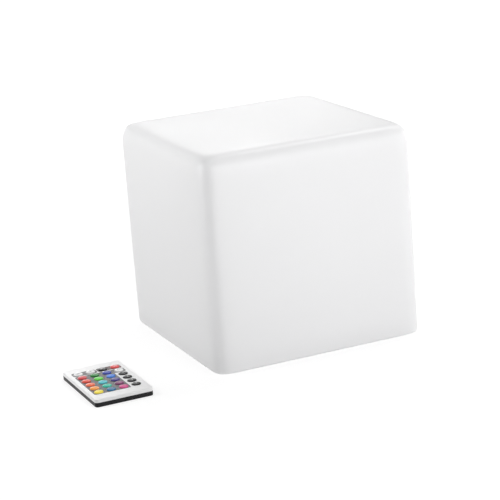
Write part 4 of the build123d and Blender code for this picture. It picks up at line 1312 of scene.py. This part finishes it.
def straight(*corners: tuple[float, float]) -> list[Array]:
    """One stroke of STROKE_POINTS even points for each straight run between corners.

    Args:
        *corners: the corners (x, y) in order.

    Returns:
        The strokes.
    """
    share = np.linspace(0.0, 1.0, STROKE_POINTS)[:, None]
    ends = np.array(corners)
    return [a + (b - a) * share for a, b in zip(ends[:-1], ends[1:])]


# Width and strokes of each letter and number, right and up from its lower left corner.
GLYPH_HEIGHT = 1.0
GLYPHS: dict[str, tuple[float, list[Array]]] = {
    "1": (0.4, straight((0.02, 0.78), (0.3, 1.0), (0.3, 0.0))),
    "2": (0.6, [
        oval((0.3, 0.71), (0.29, 0.29), 165.0, -35.0),
        *straight((0.54, 0.55), (0.02, 0.0), (0.6, 0.0)),
    ]),
    "3": (0.6, [
        oval((0.29, 0.76), (0.25, 0.24), 150.0, -90.0),
        oval((0.29, 0.27), (0.3, 0.27), 90.0, -150.0),
    ]),
    "4": (0.66, straight((0.48, 0.0), (0.48, 1.0), (0.02, 0.32), (0.66, 0.32))),
    "O": (0.78, [closed_ring((0.39, 0.5), (0.37, 0.5))]),
    "N": (0.74, straight((0.04, 0.0), (0.04, 1.0), (0.7, 0.0), (0.7, 1.0))),
    "F": (0.56, straight((0.04, 0.0), (0.04, 1.0), (0.56, 1.0)) + straight((0.04, 0.54), (0.48, 0.54))),
}


GREY_INK = (0.075, 0.073, 0.078)
EMBER_INK = (0.11, 0.022, 0.022)
PANELS = (
    Panel((-1.98, 2.04), (-0.02, 2.96), GREY_INK, GREY_INK),
    Panel((0.04, 2.04), (1.96, 2.96), BLACK, EMBER_INK),
    Panel((-1.98, -2.98), (0.98, 1.97), GREY_INK, GREY_INK),
    Panel((0.6, 1.04), (1.97, 1.97), GREY_INK, GREY_INK),
)


@dataclass
class Handset:
    """The flat handset: printed case, black back, 24 domed keys, battery drawer and boards.

    Attributes:
        rows: the keys' rows, from the far end to the near one.
        key_radius: radius of a key over its flange.
        key_points: points round a key.
        flange_height: thickness of its flange.
        fillet: radius of the hollow round between a key's side and its flange.
        fillet_middle: how far that round's middle stands off its corner.
        crown: rise of its dome.
        crown_fullness: exponent of the dome's section.
        crown_steps: steps from the dome's middle to its shoulder.
        stroke: width of a mark's strokes.
        letter_height: height of a letter or number.
        letter_gap: gap between letters, as a share of that.
        rays: rays of a sun.
        ray_reach: where they start and end, in radii of its ring.
        ray_points: points of a ray.
        mark_rise: height of a mark over the dome.
        mark_bed: depth of a mark's edges in the dome.
    """

    rows: tuple[tuple[str, ...], ...] = (
        ("brightness_up", "brightness_down", "off", "on"),
        ("red", "green", "blue", "white"),
        ("orange_red", "light_green", "sky_blue", "flash"),
        ("orange", "cyan", "indigo", "strobe"),
        ("amber", "teal", "plum", "fade"),
        ("yellow", "azure", "pink", "smooth"),
    )
    key_radius: float = 3.9 * MM
    key_points: int = 48
    flange_height: float = 0.4 * MM
    fillet: float = 0.2 * MM
    fillet_middle: float = 0.06 * MM
    crown: float = 0.6 * MM
    crown_fullness: float = 2.3
    crown_steps: int = 12
    stroke: float = 0.34 * MM
    letter_height: float = 2.0 * MM
    letter_gap: float = 0.2
    rays: int = 8
    ray_reach: tuple[float, float] = (1.55, 2.15)
    ray_points: int = 4
    mark_rise: float = 0.05 * MM
    mark_bed: float = 0.05 * MM

    def dome(self, key: str) -> Dome:
        """The crown of a key, placed by its solid.

        Args:
            key: the key's name.

        Returns:
            Its dome.
        """
        low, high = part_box(f"key_{key}")
        return Dome(
            x=(low.x + high.x) / 2.0, y=(low.y + high.y) / 2.0, shoulder=high.z - self.crown,
            radius=self.key_radius, crown=self.crown, fullness=self.crown_fullness,
        )

    def key_cap(self, key: str, shop: Paintshop) -> None:
        """Makes a key turned on its axis: crown, straight side, small fillet and flange.

        Args:
            key: the key's name.
            shop: the slots' materials.
        """
        low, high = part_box(f"key_{key}")
        dome = self.dome(key)
        flange_radius = (high.x - low.x) / 2.0
        flange_top = low.z + self.flange_height
        arc = full_arc(self.crown_steps, self.crown_fullness)[::-1]
        crown = np.stack([arc[:, 0] * dome.radius, dome.shoulder + arc[:, 1] * dome.crown], axis=1)
        crown[0, 0] = 0.0
        skirt = np.array([
            (dome.radius, flange_top + self.fillet),
            (dome.radius + self.fillet_middle, flange_top + self.fillet_middle),
            (dome.radius + self.fillet, flange_top),
            (flange_radius, flange_top),
            (flange_radius, low.z),
            (0.0, low.z),
        ])
        shape = lathe(np.concatenate([crown, skirt]), np.array([dome.x, dome.y, 0.0]), self.key_points)
        slot = shop.node_slots[f"key_{key}"]
        cap = make_piece(f"cap_{key}", shape, f"key_{key}")
        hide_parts(f"key_{key}")
        shop.paint(cap, slot)

    def word(self, text: str) -> list[Array]:
        """Strokes of a word, centred, with its letters side by side.

        Args:
            text: its letters or number.

        Returns:
            The strokes, in metres from the key's axis.
        """
        strokes: list[Array] = []
        width = sum(GLYPHS[letter][0] for letter in text) + self.letter_gap * (len(text) - 1)
        start, foot = -width / 2.0, -GLYPH_HEIGHT / 2.0
        for letter in text:
            strokes += [line + np.array([start, foot]) for line in GLYPHS[letter][1]]
            start += GLYPHS[letter][0] + self.letter_gap
        return [line * self.letter_height for line in strokes]

    def sun_rays(self, radius: float) -> list[Array]:
        """Strokes of the even rays round a ring, which are short enough to be closed on themselves.

        Args:
            radius: the ring's radius.

        Returns:
            The strokes, in metres from the key's axis.
        """
        reach = radius * np.linspace(*self.ray_reach, self.ray_points)[:, None]
        return [way[None, :] * reach for way in even_directions(self.rays)]

    def strokes(self, mark: Mark) -> list[Array]:
        """The strokes of a mark: a word, a ring, or a ring with rays.

        Args:
            mark: the mark.

        Returns:
            The strokes, in metres from the key's axis.
        """
        if mark not in RING_RADII:
            return self.word(mark.value)
        radius = RING_RADII[mark]
        ring = closed_ring((0.0, 0.0), (radius, radius))
        return [ring] if mark is Mark.RING else [ring, *self.sun_rays(radius)]

    def key_mark(self, key: str, shop: Paintshop) -> None:
        """Prints a mark that follows the key's dome.

        Args:
            key: the key's name.
            shop: the slots' materials.
        """
        dome = self.dome(key)
        shapes = []
        for line in self.strokes(KEY_MARKS[key]):
            closed = bool(np.linalg.norm(line[0] - line[-1]) < self.stroke * CLOSED_GAP)
            points, faces = carried_section(line, closed, self.stroke / 2.0, self.mark_bed,
                                            self.mark_rise, dome)
            shapes.append((points + np.array([dome.x, dome.y, 0.0]), faces))
        on_white = shop.node_slots[f"key_{key}"] == "white_key_rubber"
        slot = "black_key_rubber" if on_white else "white_key_rubber"
        mark = make_piece(f"mark_{key}", joined(shapes), f"key_{key}")
        shop.paint(mark, slot)

    def build(self, shop: Paintshop) -> None:
        """Dresses the case, makes the keys and prints their marks.

        Args:
            shop: the slots' materials.
        """
        case_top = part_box("handset_upper_case")[1].z
        first, last = self.dome(self.rows[0][0]), self.dome(self.rows[-1][-1])
        pitch = ((last.x - first.x) / (len(self.rows[0]) - 1), (first.y - last.y) / (len(self.rows) - 1))
        middle = ((first.x + last.x) / 2.0, (first.y + last.y) / 2.0, case_top)
        keys = [key for row in self.rows for key in row]
        # Every key slot gets this finish, whose paler rim is painted light through the thin dome.
        silicone = GlowRimKeyFinish(roughness=0.34, grain=4000.0, depth=4e-6, mottle=0.05, marks=0.06, shine=0.2,
                             mark_size=0.006, top=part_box("key_red")[1].z, crown=self.crown)
        slots = sorted({shop.node_slots[f"key_{key}"] for key in keys})
        shop.paint_nodes(
            {
                "handset_white": PrintedFinish(
                    roughness=0.3, grain=3500.0, depth=5e-6, mottle=0.01, marks=0.15, shine=0.2,
                    panels=PANELS, middle=middle, pitch=pitch,
                ),
                "handset_black": Finish(roughness=0.42, grain=2600.0, depth=1e-5, mottle=0.1, marks=0.15,
                                        shine=0.2),
                "keymat_silicone": Finish(roughness=0.6, grain=4000.0, depth=5e-6, mottle=0.03),
                "handset_laminate": BoardFinish(roughness=0.3, grain=1800.0, depth=6e-6,
                                                track_pitch=2.0 * MM),
                "ir_led_epoxy": Finish(roughness=0.08, grain=2000.0, depth=1e-6, mottle=0.02, coat=0.5,
                                       clear=0.9),
                "contact_nickel": Finish(Texture.DRAWN_Y, roughness=0.25, metallic=1.0, depth=2e-6),
                "coin_steel": Finish(Texture.DRAWN_X, roughness=0.3, metallic=1.0, depth=2e-6, mottle=0.1),
                **{slot: silicone for slot in slots},
            },
            ["handset_lower_case", "handset_upper_case", "handset_keymat", "handset_board",
             "handset_ir_led", "handset_contacts", "battery_drawer", "coin_cell"],
        )
        for key in keys:
            self.key_cap(key, shop)
        for key in KEY_MARKS:
            self.key_mark(key, shop)


# ---------------------------------------- camera, lamps and floor

@dataclass(frozen=True)
class Lamp:
    """A soft square lamp that looks at the cube's middle.

    Attributes:
        name: its name.
        azimuth: degrees round from -Y towards +X.
        elevation: degrees above the horizon.
        power: radiant power in watts.
        distance: from the cube's middle, in metres.
        size: edge length of its soft box in metres.
    """

    name: str
    azimuth: float
    elevation: float
    power: float
    distance: float = 1.4
    size: float = 0.5

    def hang(self, target: Array) -> None:
        """Makes the lamp.

        Args:
            target: the point that it looks at.
        """
        back = direction_from(self.azimuth, self.elevation)
        light = bpy.data.lights.new(self.name, "AREA")
        light.shape = "SQUARE"
        light.size = self.size
        light.energy = self.power
        lamp = bpy.data.objects.new(self.name, light)
        lamp.matrix_world = turned_frame(back, 0.0, target + back * self.distance)
        lamp.visible_camera = False
        bpy.context.scene.collection.objects.link(lamp)
        log.info("%s hangs %.2f m away", self.name, self.distance)


def direction_from(azimuth: float, elevation: float) -> Array:
    """Unit vector from the object towards a viewer or lamp.

    Args:
        azimuth: degrees round from -Y towards +X.
        elevation: degrees above the horizon.

    Returns:
        The vector (x, y, z).
    """
    a, e = math.radians(azimuth), math.radians(elevation)
    return np.array([math.sin(a) * math.cos(e), -math.cos(a) * math.cos(e), math.sin(e)])


def turned_frame(back: Array, roll: float, place: Array) -> Matrix:
    """World matrix of a camera or lamp.

    Args:
        back: unit vector against the way that it looks.
        roll: its turn about that, in degrees.
        place: where it stands.

    Returns:
        The matrix.
    """
    side = np.cross([0.0, 0.0, 1.0], back)
    side = side / np.linalg.norm(side)
    up = np.cross(back, side)
    turn = math.radians(roll)
    right = math.cos(turn) * side + math.sin(turn) * up
    upper = -math.sin(turn) * side + math.cos(turn) * up
    matrix = np.eye(4)
    matrix[:3, 0], matrix[:3, 1], matrix[:3, 2], matrix[:3, 3] = right, upper, back, place
    return Matrix(matrix.tolist())


@dataclass
class Studio:
    """The camera, the soft lamps, the pale surround and the floor.

    Attributes:
        azimuth: the camera's place round the cube, degrees.
        elevation: its height above the horizon, degrees.
        roll: its turn about its own axis, degrees.
        distance: from the aim point, in metres.
        lens: focal length in millimetres.
        aim: shift of the aim point to the camera's right and up, in metres.
        surround: strength of the surround on matt surfaces.
        floor_bounce: how pale the floor is to light that lands on it.
        floor_white: white that the floor shows of itself beside the object.
        floor_near: distance from the middle out to which it shows that.
        floor_far: distance from which it shows full white.
        under_glow: strength of the soft light that the floor sends up right under the object.
        floor_size: its edge length in metres.
        lamps: the soft lamps.
    """

    azimuth: float = -23.2
    elevation: float = 15.6
    roll: float = -4.48
    distance: float = 1.6531
    lens: float = 130.83
    aim: tuple[float, float] = (-0.01566, -0.02234)
    surround: float = 0.243
    floor_bounce: float = 0.35
    floor_white: float = 0.75
    floor_near: float = 0.35
    floor_far: float = 1.2
    under_glow: float = 0.5
    floor_size: float = 12.0
    lamps: tuple[Lamp, ...] = (
        Lamp("front_low_box", 22.0, 2.0, 3.80),
        Lamp("right_low_box", 45.0, 2.0, 4.42),
        Lamp("left_low_box", -112.0, 2.0, 6.4),
        Lamp("back_box", 158.0, 30.0, 2.58),
        Lamp("top_right_box", 112.0, 58.0, 7.03),
        Lamp("near_left_box", -90.0, 25.0, 0.75, distance=0.55, size=0.2),
        Lamp("near_front_box", 0.0, 8.0, 0.81, distance=0.55, size=0.2),
        Lamp("back_fill_box", 180.0, 1.0, 4.5),
        Lamp("right_fill_box", 90.0, 1.0, 3.5),
    )

    def camera(self, middle: Array) -> None:
        """Makes the camera and names it the scene's own.

        Args:
            middle: the cube's middle.
        """
        back = direction_from(self.azimuth, self.elevation)
        data = bpy.data.cameras.new("camera")
        data.lens = self.lens
        camera = bpy.data.objects.new("camera", data)
        aimed = turned_frame(back, self.roll, middle)
        right, upper = np.array(aimed.col[0][:3]), np.array(aimed.col[1][:3])
        place = middle + right * self.aim[0] + upper * self.aim[1] + back * self.distance
        camera.matrix_world = turned_frame(back, self.roll, place)
        bpy.context.scene.collection.objects.link(camera)
        bpy.context.scene.camera = camera

    def seen_mask(self, bench: Bench) -> Socket:
        """1 for rays from the camera and for those that gloss or glass sends on.

        Args:
            bench: the bench of a material or the world.

        Returns:
            The mask.
        """
        path = bench.node("LightPath").outputs
        seen = bench.maths("MAXIMUM", path["Is Camera Ray"], path["Is Glossy Ray"])
        return bench.maths("MAXIMUM", seen, path["Is Transmission Ray"])

    def world(self) -> None:
        """A surround that is white to the eye and a plain grey light to matt surfaces."""
        world = bpy.data.worlds.new("surround")
        bpy.context.scene.world = world
        world.use_nodes = True
        bench = Bench(world.node_tree)
        strength = bench.remap(self.seen_mask(bench), 0.0, 1.0, self.surround, 1.0)
        background = world.node_tree.nodes["Background"]
        background.inputs["Color"].default_value = (*WHITE, 1.0)
        bench.feed(background.inputs["Strength"], strength)

    def covered(self, bench: Bench, place: Socket, effects: SharedEffects) -> Value:
        """1 on the floor under the cube and under the handset.

        Args:
            bench: the floor's bench.
            place: the Object coordinates.
            effects: the shared node groups.

        Returns:
            The mask.
        """
        mask: Value = 0.0
        for node in ("cube_shell", "handset_lower_case"):
            footprint = effects.place(bench, "panel", Vector=place, **middle_and_half(*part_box(node)))
            mask = bench.maths("MAXIMUM", mask, footprint["Mask"])
        return mask

    def floor(self, effects: SharedEffects) -> None:
        """A wide floor, white to the eye with the object's faint shadow, and see-through from below.

        Args:
            effects: the shared node groups.
        """
        half = self.floor_size / 2.0
        mesh = bpy.data.meshes.new("floor")
        corners = [(-half, -half, 0.0), (half, -half, 0.0), (half, half, 0.0), (-half, half, 0.0)]
        mesh.from_pydata(corners, [], [(0, 1, 2, 3)])
        floor = bpy.data.objects.new("floor", mesh)
        bpy.context.scene.collection.objects.link(floor)
        floor.data.materials.append(self.floor_material(effects))

    def floor_material(self, effects: SharedEffects) -> bpy.types.Material:
        """The floor's material.

        Matt rays meet a grey that is lit, with a soft light under the object. Rays that are seen meet the
        same grey with a white of its own, which grows with the distance from the middle.

        Args:
            effects: the shared node groups.

        Returns:
            The new material.
        """
        material = bpy.data.materials.new("pale_floor")
        material.use_nodes = True
        nodes = material.node_tree.nodes
        nodes.remove(nodes["Principled BSDF"])
        bench = Bench(material.node_tree)

        def joint(kind: str, *inputs: Socket) -> Socket:
            """The shader of an Add or Mix node on the given inputs, in order."""
            return bench.node(kind, dict(enumerate(inputs))).outputs[0]

        def glow(strength: Value) -> Socket:
            """The shader of a white light of this strength."""
            return bench.node("Emission", {"Color": WHITE, "Strength": strength}).outputs[0]

        place = bench.node("TexCoord").outputs["Object"]
        matt = bench.node("BsdfDiffuse", {"Color": (self.floor_bounce,) * 3}).outputs[0]
        under = bench.maths("MULTIPLY", self.covered(bench, place, effects), self.under_glow)
        away = bench.node("VectorMath", {0: place}, operation="LENGTH").outputs["Value"]
        white = bench.remap(away, self.floor_near, self.floor_far, self.floor_white, 1.0, smooth=True)
        bounced = joint("AddShader", matt, glow(under))
        shown = joint("AddShader", matt, glow(white))
        upper = joint("MixShader", self.seen_mask(bench), bounced, shown)
        behind = bench.node("NewGeometry").outputs["Backfacing"]
        whole = joint("MixShader", behind, upper, bench.node("BsdfTransparent").outputs[0])
        bench.feed(nodes["Material Output"].inputs["Surface"], whole)
        return material

    def build(self, effects: SharedEffects) -> None:
        """Sets the whole studio up round the cube.

        Args:
            effects: the shared node groups.
        """
        low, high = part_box("cube_shell")
        middle = np.array((low + high) / 2.0)
        self.camera(middle)
        self.world()
        self.floor(effects)
        for lamp in self.lamps:
            lamp.hang(middle)
        bpy.context.scene.view_settings.view_transform = "Standard"


def main() -> None:
    """Builds the studio and every sub-assembly."""
    logging.basicConfig(level=logging.INFO, format="%(name)s: %(message)s")
    shop = Paintshop(SharedEffects())
    Studio().build(shop.effects)
    CubeShell().build(shop)
    BaseUnit().build(shop)
    LightEngine().build(shop)
    Handset().build(shop)


if __name__ == "__main__":
    main()
